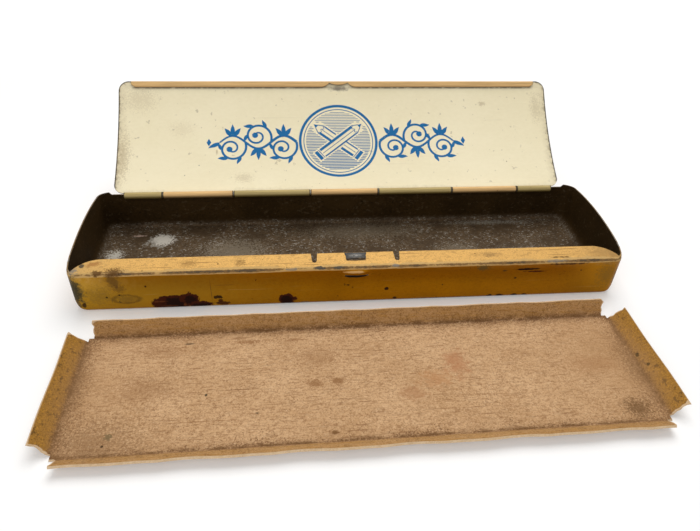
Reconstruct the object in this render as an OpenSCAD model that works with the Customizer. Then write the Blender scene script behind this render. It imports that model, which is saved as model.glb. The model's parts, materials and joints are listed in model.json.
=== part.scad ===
// Pencil tin: a pressed tinplate tray with a sprung front lip, a cambered lid on a rolled
// hinge with a wire pin, and the folded card liner that belongs inside, lying in front.
//
// X runs along the tin, Y from the front wall to the hinge, Z up.
// The origin is the middle of the tin's underside. The lid is drawn at its open stop.

/* [Tin] */
// Outside length of the tin
body_l = 190; // [150:1:240]
// Outside depth of the tin, front wall to back wall
body_w = 51; // [40:1:70]
// Height of the end walls at their front and back corners
wall_h = 16.5; // [14:0.5:30]
// How far the curved end walls and the lid rise above those corners
arch_rise = 2.6; // [1.5:0.1:5]
// Thickness of the tinplate
sheet_t = 0.4; // [0.3:0.05:0.5]
// Radius of the two upright front corners
front_corner_r = 3; // [2:0.5:6]
// Radius of the two upright back corners
back_corner_r = 5; // [3:0.5:8]
// Radius where the end walls turn into the floor
end_bottom_r = 5; // [2:0.5:8]
// Radius where the long walls turn into the floor
long_bottom_r = 1.5; // [1:0.1:4]

/* [Front lip] */
// Width of the lip that folds back from the front wall
lip_w = 7; // [5:0.25:10]
// Outside radius of the bend between front wall and lip
lip_bend_r = 1.2; // [0.8:0.1:2]
// Length over which each end of the lip narrows to a point
lip_taper_l = 10; // [6:0.5:20]
// Distance between the two relief slots beside the spring tongue
slot_pitch = 28.5; // [18:0.5:40]
// Width of a relief slot at its open end
slot_w = 2.2; // [1:0.1:4]
// Width of a relief slot at its closed end
slot_end_w = 1.6; // [0.8:0.1:3]
// Length of a relief slot
slot_l = 4.2; // [2:0.1:5]

/* [Catch and nail ledge] */
// Width of the raised catch at its root on the lip
catch_w = 8; // [5:0.5:14]
// Width of the raised catch at its free front edge
catch_tip_w = 6.6; // [4:0.1:12]
// Length of the catch, from its root to its free edge
catch_l = 3; // [1.5:0.1:3.4]
// Height of the free edge above the lip
catch_rise = 0.5; // [0.3:0.05:0.55]
// Depth of the hollow in each side of the catch
catch_waist = 0.6; // [0.3:0.05:1]
// Distance from the lip's free edge to the root of the catch
catch_inset = 0.3; // [0.2:0.1:0.8]
// Width of the nail ledge pressed out of the front wall
ledge_w = 10; // [6:0.5:16]
// Height of the nail ledge
ledge_h = 2; // [1.2:0.1:3]
// How far the nail ledge stands out of the front wall
ledge_out = 0.8; // [0.6:0.05:1.2]
// Height of the ledge's lower edge above the underside
ledge_z = 12.6; // [9:0.1:13]
// Opening left under the nail ledge
ledge_slit = 0.6; // [0.4:0.1:1]
// Distance from each end of the nail ledge to the end of its opening
ledge_slit_end = 1; // [0.6:0.1:2]

/* [Lid] */
// Distance from each end of the tin to the end of the lid
lid_end_gap = 4.5; // [3:0.5:10]
// How far the closed lid's front edge stands out past the front wall
lid_overhang = 1; // [0.4:0.1:2]
// Corner radius of the lid
lid_corner_r = 4; // [2:0.5:8]
// Depth of the hem folded under the lid's front edge
hem_w = 2.6; // [2:0.1:4]
// Distance from each end of the lid to the end of its hem
hem_end = 5; // [4:0.5:12]
// Length over which the hem is cut back around its middle tongue
hem_cut_l = 14.8; // [12:0.2:24]
// Width of the tongue in the middle of the hem, between its two notches
tongue_w = 7.9; // [5:0.1:11]
// Depth of the tongue at its middle
tongue_l = 1.7; // [1.4:0.1:1.9]
// Depth of hem left at the bottom of each notch beside the tongue
notch_l = 0.8; // [0.6:0.1:1.2]
// Angle of the lid from closed to its open stop
open_deg = 143; // [0:0.5:145]

/* [Hinge] */
// Diameter of the hinge wire
pin_d = 1.6; // [1:0.1:2.4]
// Clearance all round the wire inside the rolled knuckles
pin_clear = 0.08; // [0.05:0.01:0.1]
// Distance from each end of the lid to the end of the hinge
hinge_end = 4.6; // [3:0.1:8]
// Length of the two knuckles at the ends, on the tin
end_knuckle_l = 14.5; // [8:0.5:20]
// Length of the two inner knuckles on the tin
tin_knuckle_l = 30; // [20:0.5:36]
// Gap between neighbouring knuckles
knuckle_gap = 0.3; // [0.1:0.05:0.6]

/* [Card liner] */
// Clearance from each end crease of the liner to the tin's end wall, when it is in the tin
liner_end_clear = 7.6; // [5:0.1:20]
// Clearance from each long crease of the liner to the tin's long wall, when it is in the tin
liner_side_clear = 2.6; // [1.5:0.1:8]
// Thickness of the card
card_t = 0.7; // [0.4:0.1:1.2]
// Height of the two end flaps along the card
end_flap_h = 7; // [5:0.5:12]
// Lean of the end flaps away from upright
end_flap_lean = 42; // [0:1:60]
// Height of the back flap along the card
back_flap_h = 6.4; // [5:0.2:12]
// Lean of the back flap away from upright
back_flap_lean = 20; // [0:1:45]
// Height of the front flap along the card
front_flap_h = 6; // [5:0.2:12]
// Lean of the front flap away from upright
front_flap_lean = 55; // [0:1:75]
// Gap torn open at each corner between two flaps
torn_gap = 1.6; // [0.5:0.1:5]
// Distance from the tin's front wall to the back crease of the liner
liner_gap = 13; // [8:0.5:60]
// Sideways place of the liner's middle
liner_x = 0; // [-10:0.5:10]
// Turn of the liner as it lies in front of the tin
liner_turn = 0.5; // [-10:0.5:10]

/* [Hidden] */
$fn = 96;
// Overshoot of cutting shapes past the faces that they cut
cut = 1;
// Small inward step that keeps rolled sheet from only touching itself along a line
roll_step = 0.02;
// Gap between closed lid and lip, and inside the pressed hem fold
seat_gap = 0.1;
// Clearance between a turning knuckle and the wall cut down below it
knuckle_relief = 0.2;
// Clearance between the lid's end and the full-height wall beside it
rim_clear = 1;
// How far cutting shapes reach above the top of the lid
headroom = 5;

half_l = body_l / 2;
half_w = body_w / 2;

// The end walls and the lid follow one circle along X
arch_r = (half_w * half_w + arch_rise * arch_rise) / (2 * arch_rise);
arch_z = wall_h + arch_rise - arch_r;
function circle_z(r, y) = arch_z + sqrt(r * r - y * y);

// The hem is two sheets pressed together, and the lip lies just under it
hem_t = 2 * sheet_t + seat_gap;
lip_r = arch_r - hem_t - seat_gap;
lip_edge_y = -half_w + lip_w;
lip_taper_r = (lip_taper_l * lip_taper_l + lip_w * lip_w) / (2 * lip_w);

// Hinge axis, set so that knuckles lie inside the back wall and under the lid's curve
knuckle_r = pin_d / 2 + pin_clear + sheet_t;
hinge_y = half_w - knuckle_r - roll_step;
hinge_z = arch_z + sqrt(pow(arch_r - knuckle_r - roll_step, 2) - hinge_y * hinge_y);
// The lid's sheet starts clear of the tin's knuckles
lid_setback = knuckle_r + knuckle_relief;
lid_front_y = -half_w - lid_overhang;
lid_back_y = hinge_y - lid_setback;
lid_l = body_l - 2 * lid_end_gap;

// Seven knuckles share the hinge: three on the lid take what the tin's four leave
hinge_l = lid_l - 2 * hinge_end;
lid_knuckle_l = (hinge_l - 2 * end_knuckle_l - 2 * tin_knuckle_l - 6 * knuckle_gap) / 3;

// Middle of each knuckle along the hinge
knuckle_pitch = tin_knuckle_l / 2 + lid_knuckle_l / 2 + knuckle_gap;
lid_knuckles = [-2 * knuckle_pitch, 0, 2 * knuckle_pitch];
tin_knuckles = [-knuckle_pitch, knuckle_pitch];
end_knuckle_x = (hinge_l - end_knuckle_l) / 2;
// The end walls keep their full height this far in along the back wall
rim_return = lid_end_gap - rim_clear;

// Where the catch is bent up from the lip
catch_root_y = lip_edge_y - catch_inset;

// The liner's floor, sized to lie in the bottom of the tin
liner_l = body_l - 2 * sheet_t - 2 * liner_end_clear;
liner_w = body_w - 2 * sheet_t - 2 * liner_side_clear;

// Height to which cutting shapes reach
top_z = wall_h + arch_rise + headroom;

// ---- Plain shapes -------------------------------------------------------------------

// Extrude a drawing of the tin's cross-section (first Y, then Z) along X
module along_x(length) {
    rotate([90, 0, 90])
        linear_extrude(height = length, center = true)
            children();
}

// Extrude a drawing of the tin's long side (first X, then Z) along Y
module along_y(length) {
    rotate([90, 0, 0])
        linear_extrude(height = length, center = true)
            children();
}

// What is taken off a square corner at the origin to leave radius r inside it
module corner_waste(r) {
    difference() {
        translate([-r, -r])
            square(r + cut);
        translate([-r, -r])
            circle(r);
    }
}

// Rectangle with rounded corners, r_front on the -Y side and r_back on the +Y side
module rounded_plan(l, w, r_front, r_back) {
    difference() {
        square([l, w], center = true);
        for (side = [0, 1])
            mirror([side, 0]) {
                translate([l / 2, w / 2])
                    corner_waste(r_back);
                translate([l / 2, -w / 2])
                    mirror([0, 1])
                        corner_waste(r_front);
            }
    }
}

// Side-on outline with its two lower corners rounded
module rounded_foot(l, floor_z, r) {
    difference() {
        translate([-l / 2, floor_z])
            square([l, top_z]);
        for (side = [0, 1])
            mirror([side, 0])
                translate([l / 2, floor_z])
                    mirror([0, 1])
                        corner_waste(r);
    }
}

// A bar of the hinge line, from end to end of one knuckle
module hinge_bar(x, length, r) {
    translate([x, hinge_y, hinge_z])
        rotate([0, 90, 0])
            cylinder(h = length, r = r, center = true);
}

// ---- Tin ----------------------------------------------------------------------------

// The tin's outer form moved in by inset, under a curved top of radius top_r
module tin_form(inset, top_r) {
    intersection() {
        linear_extrude(height = top_z)
            rounded_plan(body_l - 2 * inset, body_w - 2 * inset,
                front_corner_r - inset, back_corner_r - inset);
        along_y(body_w + 2 * cut)
            rounded_foot(body_l - 2 * inset, inset, end_bottom_r - inset);
        along_x(body_l + 2 * cut)
            intersection() {
                rounded_foot(body_w - 2 * inset, inset, long_bottom_r - inset);
                translate([0, arch_z])
                    circle(r = top_r, $fn = 360);
            }
    }
}

// What is taken off to round the bend between front wall and lip
module bend_waste(inset) {
    r = lip_bend_r - inset;
    bend_y = -half_w + inset;
    along_x(body_l + 2 * cut)
        translate([bend_y, circle_z(lip_r - inset, bend_y + r)])
            mirror([1, 0])
                corner_waste(r);
}

// The tray with its walls, closed over by a sheet at the height of the lip
module closed_box() {
    difference() {
        tin_form(0, lip_r);
        bend_waste(0);
        difference() {
            tin_form(sheet_t, lip_r - sheet_t);
            bend_waste(sheet_t);
        }
    }
}

// The part of the end walls that stands above the lip, up to the curved rim
module end_rims() {
    intersection() {
        difference() {
            tin_form(0, arch_r);
            tin_form(sheet_t, arch_r + cut);
        }
        for (side = [-1, 1])
            translate([side * (half_l - rim_return / 2 + cut / 2), lip_bend_r / 2, top_z / 2])
                cube([rim_return + cut, body_w - lip_bend_r, top_z], center = true);
    }
}

// Plan of the lip, with ends that narrow to a point at the corners
module lip_plan() {
    straight = half_l - sheet_t - lip_taper_l;
    translate([-straight, -half_w])
        square([2 * straight, lip_w]);
    for (side = [-1, 1])
        intersection() {
            translate([side * straight, lip_edge_y - lip_taper_r])
                circle(lip_taper_r);
            translate([-half_l, -half_w])
                square([body_l, lip_w]);
        }
}

// Everything over the tray that is not lip
module mouth() {
    translate([0, 0, wall_h / 2])
        linear_extrude(height = top_z)
            difference() {
                rounded_plan(body_l - 2 * sheet_t, body_w - 2 * sheet_t,
                    front_corner_r - sheet_t, back_corner_r - sheet_t);
                lip_plan();
            }
}

// Back wall taken down to the hinge line, and lower still behind each knuckle of the lid
module hinge_clearance() {
    back_y = hinge_y - knuckle_r - knuckle_relief;
    back_depth = half_w + cut - back_y;
    translate([-half_l + rim_return, half_w - sheet_t - cut, hinge_z])
        cube([body_l - 2 * rim_return, sheet_t + 2 * cut, top_z]);
    for (x = lid_knuckles)
        translate([x - lid_knuckle_l / 2 - knuckle_gap, back_y, hinge_z - lid_setback])
            cube([lid_knuckle_l + 2 * knuckle_gap, back_depth, top_z]);
}

// One relief slot, open at the lip's edge and round at its closed end
module relief_slot() {
    end_r = slot_end_w / 2;
    linear_extrude(height = top_z) {
        polygon([[-slot_w / 2, cut], [slot_w / 2, cut], [end_r, end_r - slot_l],
            [-end_r, end_r - slot_l]]);
        translate([0, end_r - slot_l])
            circle(end_r);
    }
}

// Plan of the catch, wide at its root and waisted towards its free edge
module catch_plan(length) {
    difference() {
        polygon([[-catch_w / 2, 0], [catch_w / 2, 0], [catch_tip_w / 2, -length],
            [-catch_tip_w / 2, -length]]);
        for (side = [-1, 1])
            translate([side * (catch_w / 2 + length - catch_waist), -length / 2])
                circle(length);
    }
}

// The catch: a tongue cut from the lip and bent up towards its free front edge
module catch_tab() {
    tip_y = catch_root_y - catch_l;
    root_z = circle_z(lip_r, catch_root_y);
    tip_z = circle_z(lip_r, tip_y) + catch_rise;
    intersection() {
        translate([0, catch_root_y + sheet_t, 0])
            linear_extrude(height = top_z)
                catch_plan(catch_l + sheet_t);
        along_x(catch_w + 2 * cut)
            polygon([[catch_root_y + sheet_t, root_z - sheet_t], [catch_root_y + sheet_t, root_z],
                [tip_y, tip_z], [tip_y, tip_z - sheet_t]]);
    }
}

// Window in the lip that the catch was bent out of
module catch_window() {
    translate([0, catch_root_y - sheet_t, wall_h / 2])
        linear_extrude(height = top_z)
            catch_plan(catch_l);
}

// Solid hood bulging from the front wall: a slice of a tall cylinder under a sloping top
module ledge_hood(inset) {
    out = ledge_out - inset;
    wide = ledge_w - 2 * inset;
    bulge_r = (wide * wide / 4 + out * out) / (2 * out);
    tip_y = -half_w - out;
    root_y = -half_w + sheet_t / 2;
    low_z = ledge_z - inset;
    high_z = ledge_z + ledge_h - inset;
    intersection() {
        translate([0, tip_y + bulge_r, 0])
            cylinder(h = top_z, r = bulge_r, $fn = 360);
        along_x(wide + 2 * cut)
            polygon([[tip_y, low_z], [root_y, low_z], [root_y, high_z], [-half_w, high_z],
                [tip_y, high_z - ledge_h / 2]]);
    }
}

// The tray as pressed, before anything is rolled, raised or slit
module pressed_tray() {
    difference() {
        union() {
            closed_box();
            end_rims();
        }
        mouth();
        hinge_clearance();
    }
}

module base_shell() {
    color("darkgoldenrod") {
        difference() {
            union() {
                pressed_tray();
                ledge_hood(0);
                for (x = tin_knuckles)
                    hinge_bar(x, tin_knuckle_l, knuckle_r);
                for (side = [-1, 1])
                    hinge_bar(side * end_knuckle_x, end_knuckle_l, knuckle_r);
            }
            hinge_bar(0, hinge_l + 2 * cut, pin_d / 2 + pin_clear);
            for (side = [-1, 1])
                translate([side * slot_pitch / 2, lip_edge_y, wall_h / 2])
                    relief_slot();
            catch_window();
            ledge_hood(sheet_t);
            translate([0, -half_w + sheet_t / 2, ledge_z - ledge_slit / 2])
                cube([ledge_w - 2 * ledge_slit_end, 2 * sheet_t, ledge_slit], center = true);
        }
        catch_tab();
    }
}

module hinge_pin() {
    color("silver")
        hinge_bar(0, hinge_l, pin_d / 2);
}

// ---- Lid, drawn closed and then turned to its stop -----------------------------------

// A band of sheet along the lid's curve, between two radii and two places along Y
module lid_band(length, r_in, r_out, y_from, y_to) {
    along_x(length)
        intersection() {
            difference() {
                translate([0, arch_z])
                    circle(r = r_out, $fn = 360);
                translate([0, arch_z])
                    circle(r = r_in, $fn = 360);
            }
            translate([y_from, 0])
                square([y_to - y_from, top_z]);
        }
}

// Plan of the lid: rounded corners, with a tab for each of its knuckles
module lid_plan() {
    translate([0, (lid_front_y + lid_back_y) / 2])
        rounded_plan(lid_l, lid_back_y - lid_front_y, lid_corner_r, lid_corner_r);
    for (x = lid_knuckles)
        translate([x - lid_knuckle_l / 2, lid_back_y - cut])
            square([lid_knuckle_l, lid_setback + cut]);
}

// Plan of the hem: full depth at both sides, two curved notches and a round tongue between
module hem_plan() {
    shoulder_w = (hem_cut_l - tongue_w) / 2;
    shoulder_h = hem_w - notch_l;
    shoulder_r = (shoulder_w * shoulder_w + shoulder_h * shoulder_h) / (2 * shoulder_h);
    tongue_rise = tongue_l - notch_l;
    tongue_r = (tongue_w * tongue_w / 4 + tongue_rise * tongue_rise) / (2 * tongue_rise);
    side_l = lid_l / 2 - hem_end - hem_cut_l / 2;
    intersection() {
        union() {
            for (side = [-1, 1]) {
                translate([side * (hem_cut_l / 2 + side_l / 2), hem_w / 2])
                    square([side_l, hem_w], center = true);
                intersection() {
                    translate([side * hem_cut_l / 2, hem_w - shoulder_r])
                        circle(shoulder_r);
                    translate([side * (hem_cut_l + tongue_w) / 4, hem_w / 2])
                        square([shoulder_w, hem_w], center = true);
                }
            }
            translate([0, tongue_l - tongue_r])
                circle(tongue_r);
        }
        translate([-lid_l / 2, 0])
            square([lid_l, hem_w]);
    }
}

// The hem, as thick as the fold of two sheets, with its rounded front edge
module hem() {
    fold_r = hem_t / 2;
    fold_y = lid_front_y + fold_r;
    intersection() {
        lid_band(lid_l - 2 * hem_end, arch_r - hem_t, arch_r - sheet_t / 2, fold_y,
            lid_front_y + hem_w);
        translate([0, lid_front_y, 0])
            linear_extrude(height = top_z)
                hem_plan();
    }
    translate([0, fold_y, circle_z(arch_r - fold_r, fold_y)])
        rotate([0, 90, 0])
            cylinder(h = lid_l - 2 * hem_end, r = fold_r - roll_step, center = true);
}

// The lid's cambered sheet, open along its front edge where the hem closes it
module lid_sheet() {
    difference() {
        intersection() {
            lid_band(lid_l + 2 * cut, arch_r - sheet_t, arch_r, lid_front_y - cut, hinge_y);
            linear_extrude(height = top_z)
                lid_plan();
        }
        translate([-lid_l / 2 + hem_end, lid_front_y - cut, 0])
            cube([lid_l - 2 * hem_end, hem_t / 2 + cut, top_z]);
    }
}

module closed_lid() {
    difference() {
        union() {
            lid_sheet();
            hem();
            for (x = lid_knuckles)
                hinge_bar(x, lid_knuckle_l, knuckle_r);
        }
        hinge_bar(0, hinge_l, pin_d / 2 + pin_clear);
    }
}

module lid_shell() {
    color("wheat")
        translate([0, hinge_y, hinge_z])
            rotate([-open_deg, 0, 0])
                translate([0, -hinge_y, -hinge_z])
                    closed_lid();
}

// ---- Card liner ----------------------------------------------------------------------

// A flap standing on a crease along X that ends at the origin side of +Y, leaning to +Y
module flap(crease_l, height, lean) {
    rotate([-lean, 0, 0])
        translate([-crease_l / 2 + torn_gap, -card_t, 0])
            cube([crease_l - 2 * torn_gap, card_t, height]);
}

module card_liner() {
    color("tan")
        translate([liner_x, -half_w - liner_gap - liner_w / 2, 0])
            rotate([0, 0, liner_turn]) {
                translate([-liner_l / 2, -liner_w / 2, 0])
                    cube([liner_l, liner_w, card_t]);
                translate([0, liner_w / 2, 0])
                    flap(liner_l, back_flap_h, back_flap_lean);
                translate([0, -liner_w / 2, 0])
                    rotate([0, 0, 180])
                        flap(liner_l, front_flap_h, front_flap_lean);
                for (side = [-1, 1])
                    translate([side * liner_l / 2, 0, 0])
                        rotate([0, 0, -side * 90])
                            flap(liner_w, end_flap_h, end_flap_lean);
            }
}

base_shell();
hinge_pin();
lid_shell();
card_liner();
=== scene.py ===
"""Pressed pencil tin with a hinged lid and a folded card liner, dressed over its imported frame.

Lengths inside the shape functions are millimetres in the frame's own axes: X along the tin,
Y from the front wall to the hinge, Z up. `make_piece` turns them into metres.
"""

import json
import math
from types import SimpleNamespace

import bmesh
import bpy
import numpy as np
from bpy.props import FloatProperty, FloatVectorProperty, PointerProperty
from mathutils import Matrix, Vector


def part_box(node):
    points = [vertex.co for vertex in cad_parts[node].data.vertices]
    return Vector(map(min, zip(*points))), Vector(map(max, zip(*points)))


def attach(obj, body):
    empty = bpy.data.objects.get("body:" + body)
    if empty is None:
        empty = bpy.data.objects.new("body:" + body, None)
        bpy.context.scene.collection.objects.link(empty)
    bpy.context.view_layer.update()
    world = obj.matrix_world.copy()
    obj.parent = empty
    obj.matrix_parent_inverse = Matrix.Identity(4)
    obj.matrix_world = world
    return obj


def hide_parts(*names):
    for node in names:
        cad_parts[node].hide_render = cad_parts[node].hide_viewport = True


bl_info = {
    "name": "Pencil Tin",
    "version": (1, 0, 0),
    "blender": (4, 5, 0),
    "location": "View3D > Sidebar > Pencil Tin",
    "description": "Dresses a pressed pencil tin: tray, lid, hinge, printed lining and card liner",
    "category": "Object",
}

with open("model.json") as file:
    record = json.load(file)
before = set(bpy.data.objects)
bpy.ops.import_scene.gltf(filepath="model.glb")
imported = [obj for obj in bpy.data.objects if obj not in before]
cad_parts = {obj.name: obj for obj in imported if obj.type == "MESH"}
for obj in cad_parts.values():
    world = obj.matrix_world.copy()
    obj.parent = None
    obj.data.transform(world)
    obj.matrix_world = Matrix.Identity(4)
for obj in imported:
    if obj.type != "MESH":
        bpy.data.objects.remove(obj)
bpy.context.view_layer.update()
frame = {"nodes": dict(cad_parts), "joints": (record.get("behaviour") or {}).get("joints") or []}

MM = 0.001
SHELL_HIGH, LID_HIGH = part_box("base_shell")[1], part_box("lid_shell")[1]
PIN_LOW, PIN_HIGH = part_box("hinge_pin")
LID_HINGE = next(joint for joint in frame["joints"] if joint["name"] == "lid_hinge")

# Faces of a sheet piece: its outer skin, its inner skin and its cut edges
OUTER, INNER, EDGE = 0, 1, 2

# Measures in millimetres that no user would change
FOLD_GAP = 0.1          # air inside the hem, and between the shut lid and the lip
ROLL_GAP = 0.2          # air between a knuckle and the sheet beside it
FLAT_X, FLAT_Y = 28, 12  # margins of the tray's floor that give way to its fillets
WINDOW = 3.8            # half width of the opening left in the lip by the catch
CREASE_ARC = 1.3        # half length of a crease's bend in the card
INK_OUT, INK_IN = 0.025, 0.03  # how far the ink stands out of the enamel and sinks into it

# Turns in degrees: of the lip from the wall, and of each body's sheet round the hinge wire
LIP_TURN = math.radians(79)
KNUCKLE_TURNS = {"tin": (0.0, 322.0), "lid": (96.0, -222.0)}

# First rows of the tray's skin: in the bottom fillet, up the wall, in the ledge's slit, round
# the lip's bend, along the lip and in the opening at the catch
FILLET, WALL, SLIT, BEND, LIP, OPENING = 4, 12, 16, 21, 28, 30


def length(name, default, description):
    """A length property whose default is given in millimetres."""
    return FloatProperty(name=name, description=description, default=default * MM, min=0.0,
                         precision=5, unit="LENGTH")


def angle(name, default, description):
    """An angle property whose default is given in degrees."""
    return FloatProperty(name=name, description=description, default=math.radians(default),
                         unit="ROTATION")


def colour(name, default, description):
    """A colour property, written as linear red, green and blue."""
    return FloatVectorProperty(name=name, description=description, default=default, size=3,
                               min=0.0, max=1.0, subtype="COLOR")


class TinSizes(bpy.types.PropertyGroup):
    """Sizes of the tray, its lip, catch and nail ledge."""

    sheet: length("Sheet", 0.4, "Thickness of the tinplate")
    arch_rise: length("Camber", 2.6, "Rise of the end walls and lid above the corners")
    front_corner: length("Front corners", 3, "Radius of the upright front corners")
    back_corner: length("Back corners", 5, "Radius of the upright back corners")
    end_bottom: length("End fillet", 5, "Radius where the end walls turn into the floor")
    long_bottom: length("Long fillet", 1.5, "Radius where the long walls turn into the floor")
    lip_width: length("Lip", 7, "Width of the lip folded back from the front wall")
    lip_bend: length("Lip bend", 1.2, "Outside radius between front wall and lip")
    lip_taper: length("Lip taper", 10, "Length over which the lip narrows to each corner")
    slot_pitch: length("Slot spacing", 28.5, "Distance between the two relief slots")
    slot_width: length("Slot mouth", 2.2, "Width of a relief slot at the lip's edge")
    slot_end: length("Slot end", 1.6, "Width of a relief slot at its round end")
    slot_length: length("Slot length", 4.2, "Length of a relief slot")
    catch_root: length("Catch root", 8, "Width of the raised catch at its root")
    catch_tip: length("Catch tip", 6.6, "Width of the raised catch at its free edge")
    catch_length: length("Catch length", 3, "Length of the raised catch")
    catch_rise: length("Catch rise", 0.5, "Height of the catch's free edge above the lip")
    catch_waist: length("Catch waist", 0.6, "Depth of the hollow in each side of the catch")
    catch_inset: length("Catch inset", 0.3, "Distance from the lip's edge to the catch")
    ledge_width: length("Ledge width", 10, "Width of the nail ledge")
    ledge_out: length("Ledge depth", 0.5, "How far the nail ledge stands out")
    ledge_low: length("Ledge height", 12.6, "Height of the nail ledge's lower edge")
    ledge_slit: length("Ledge slit", 0.6, "Opening under the nail ledge")
    ledge_slit_end: length("Slit end", 1, "Distance from the ledge's end to its opening's end")
    knuckle_gap: length("Knuckle gap", 0.3, "Gap between neighbouring knuckles")
    end_knuckle: length("End knuckle", 14.5, "Length of the two end knuckles on the tin")
    tin_knuckle: length("Tin knuckle", 30, "Length of the two inner knuckles on the tin")
    pin_clear: length("Pin clearance", 0.08, "Clearance round the wire inside the knuckles")


class LidSizes(bpy.types.PropertyGroup):
    """Sizes of the lid, its hem and its print."""

    overhang: length("Overhang", 1, "How far the closed lid stands out past the front wall")
    corner: length("Corners", 4, "Corner radius of the lid")
    hem: length("Hem", 2.6, "Depth of the hem folded under the front edge")
    hem_end: length("Hem end", 5, "Distance from the lid's end to the end of the hem")
    hem_cut: length("Hem cut", 14.8, "Length of hem cut back around the middle tongue")
    tongue_width: length("Tongue width", 7.9, "Width of the tongue between its notches")
    tongue: length("Tongue depth", 1.7, "Depth of the tongue at its middle")
    notch: length("Notch", 0.8, "Depth of hem left at the bottom of each notch")
    print_length: length("Print length", 108, "Length of the printed ornament")
    print_height: length("Print height", 33, "Height of the printed ornament")


class CardSizes(bpy.types.PropertyGroup):
    """Sizes of the folded card liner."""

    length: length("Length", 174, "Length between the end creases")
    width: length("Width", 45, "Width between the long creases")
    thickness: length("Card", 0.7, "Thickness of the card")
    middle: length("Distance", 61, "Distance from the tin's middle to the liner's middle")
    end_flap: length("End flaps", 7, "Height of the end flaps along the card")
    back_flap: length("Back flap", 6.4, "Height of the back flap along the card")
    front_flap: length("Front flap", 6, "Height of the front flap along the card")
    torn_gap: length("Torn gap", 1.6, "Gap torn open at each corner")
    trim: length("Trim", 0.5, "Length trimmed off the front flap's edge")
    end_lean: angle("End lean", 42, "Lean of the end flaps from upright")
    back_lean: angle("Back lean", 20, "Lean of the back flap from upright")
    front_lean: angle("Front lean", 55, "Lean of the front flap from upright")
    turn: angle("Turn", 0.5, "Turn of the liner in front of the tin")


class Finishes(bpy.types.PropertyGroup):
    """Colours of the finishes."""

    # One gold lacquer in four copies: the wall's colour is painted shaded, and the lip's, hem's
    # and knuckles' colours are painted lit
    wall_gold: colour("Wall lacquer", (0.30, 0.118, 0.0008), "Lacquer on the tray's walls")
    lip_gold: colour("Lip lacquer", (0.755, 0.440, 0.135), "Lacquer on the lip")
    hem_gold: colour("Hem lacquer", (0.68, 0.43, 0.18), "Lacquer on the hem and lid knuckles")
    roll_gold: colour("Knuckle lacquer", (0.44, 0.33, 0.13), "Lacquer on the tin's knuckles")
    lining: colour("Dark lining", (0.020, 0.0105, 0.003), "Lacquer inside the tray's walls")
    lining_floor: colour("Lining floor", (0.062, 0.039, 0.020), "Dusty floor of the tray")
    enamel: colour("Cream enamel", (0.88, 0.785, 0.545), "Enamel inside the lid")
    blue: colour("Blue print", (0.006, 0.125, 0.32), "Ink of the printed ornament")
    bare: colour("Bare tin", (0.42, 0.40, 0.36), "Tinplate where nothing covers it")
    wire: colour("Steel wire", (0.33, 0.31, 0.28), "Hinge wire")
    card: colour("Grey card", (0.635, 0.398, 0.211), "Inner face of the card liner")
    card_flap: colour("Card flap", (0.35, 0.170, 0.022), "Flaps of the card liner")
    card_torn: colour("Torn card", (0.74, 0.55, 0.35), "Torn and cut edges of the card")


def in_millimetres(group):
    """A property group's values as plain numbers, with its lengths in millimetres."""
    kinds = {p.identifier: p.unit for p in group.bl_rna.properties
             if p.type == "FLOAT" and not p.is_array}
    return {name: getattr(group, name) / (MM if unit == "LENGTH" else 1.0)
            for name, unit in kinds.items()}


def tin_measures(scene):
    """The tin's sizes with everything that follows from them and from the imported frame."""
    m = SimpleNamespace(**in_millimetres(scene.pencil_tin))
    m.half_l = SHELL_HIGH.x / MM
    m.half_w = SHELL_HIGH.y / MM
    m.wall_h = SHELL_HIGH.z / MM - m.arch_rise
    m.arch_r = (m.half_w ** 2 + m.arch_rise ** 2) / (2 * m.arch_rise)
    m.arch_z = m.wall_h + m.arch_rise - m.arch_r
    m.hem_t = 2 * m.sheet + FOLD_GAP
    m.lip_r = m.arch_r - m.hem_t - FOLD_GAP
    m.lip_edge = -m.half_w + m.lip_width
    m.taper_r = (m.lip_taper ** 2 + m.lip_width ** 2) / (2 * m.lip_width)
    m.taper_x = m.half_l - m.sheet - m.lip_taper
    m.hinge_y = LID_HINGE["pos_m"][1] / MM
    m.hinge_z = LID_HINGE["pos_m"][2] / MM
    m.pin_r = (PIN_HIGH.z - PIN_LOW.z) / 2 / MM
    m.roll_in = m.pin_r + m.pin_clear
    m.roll_out = m.roll_in + m.sheet
    m.lid_back = m.hinge_y - m.roll_out - ROLL_GAP
    m.hinge_l = (PIN_HIGH.x - PIN_LOW.x) / MM
    m.lid_half = LID_HIGH.x / MM
    m.lid_knuckle = (m.hinge_l - 2 * m.end_knuckle - 2 * m.tin_knuckle
                     - 6 * m.knuckle_gap) / 3
    m.pitch = (m.tin_knuckle + m.lid_knuckle) / 2 + m.knuckle_gap
    m.end_x = (m.hinge_l - m.end_knuckle) / 2
    m.lid_centres = (-2 * m.pitch, 0.0, 2 * m.pitch)
    m.open = math.radians(max(LID_HINGE["range_deg"]))
    return m


def lid_measures(scene):
    """The tin's measures together with the lid's own sizes."""
    m = tin_measures(scene)
    for name, value in in_millimetres(scene.pencil_tin_lid).items():
        setattr(m, name, value)
    m.front = -m.half_w - m.overhang
    return m


# ---- Meshes ----------------------------------------------------------------------------


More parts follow.
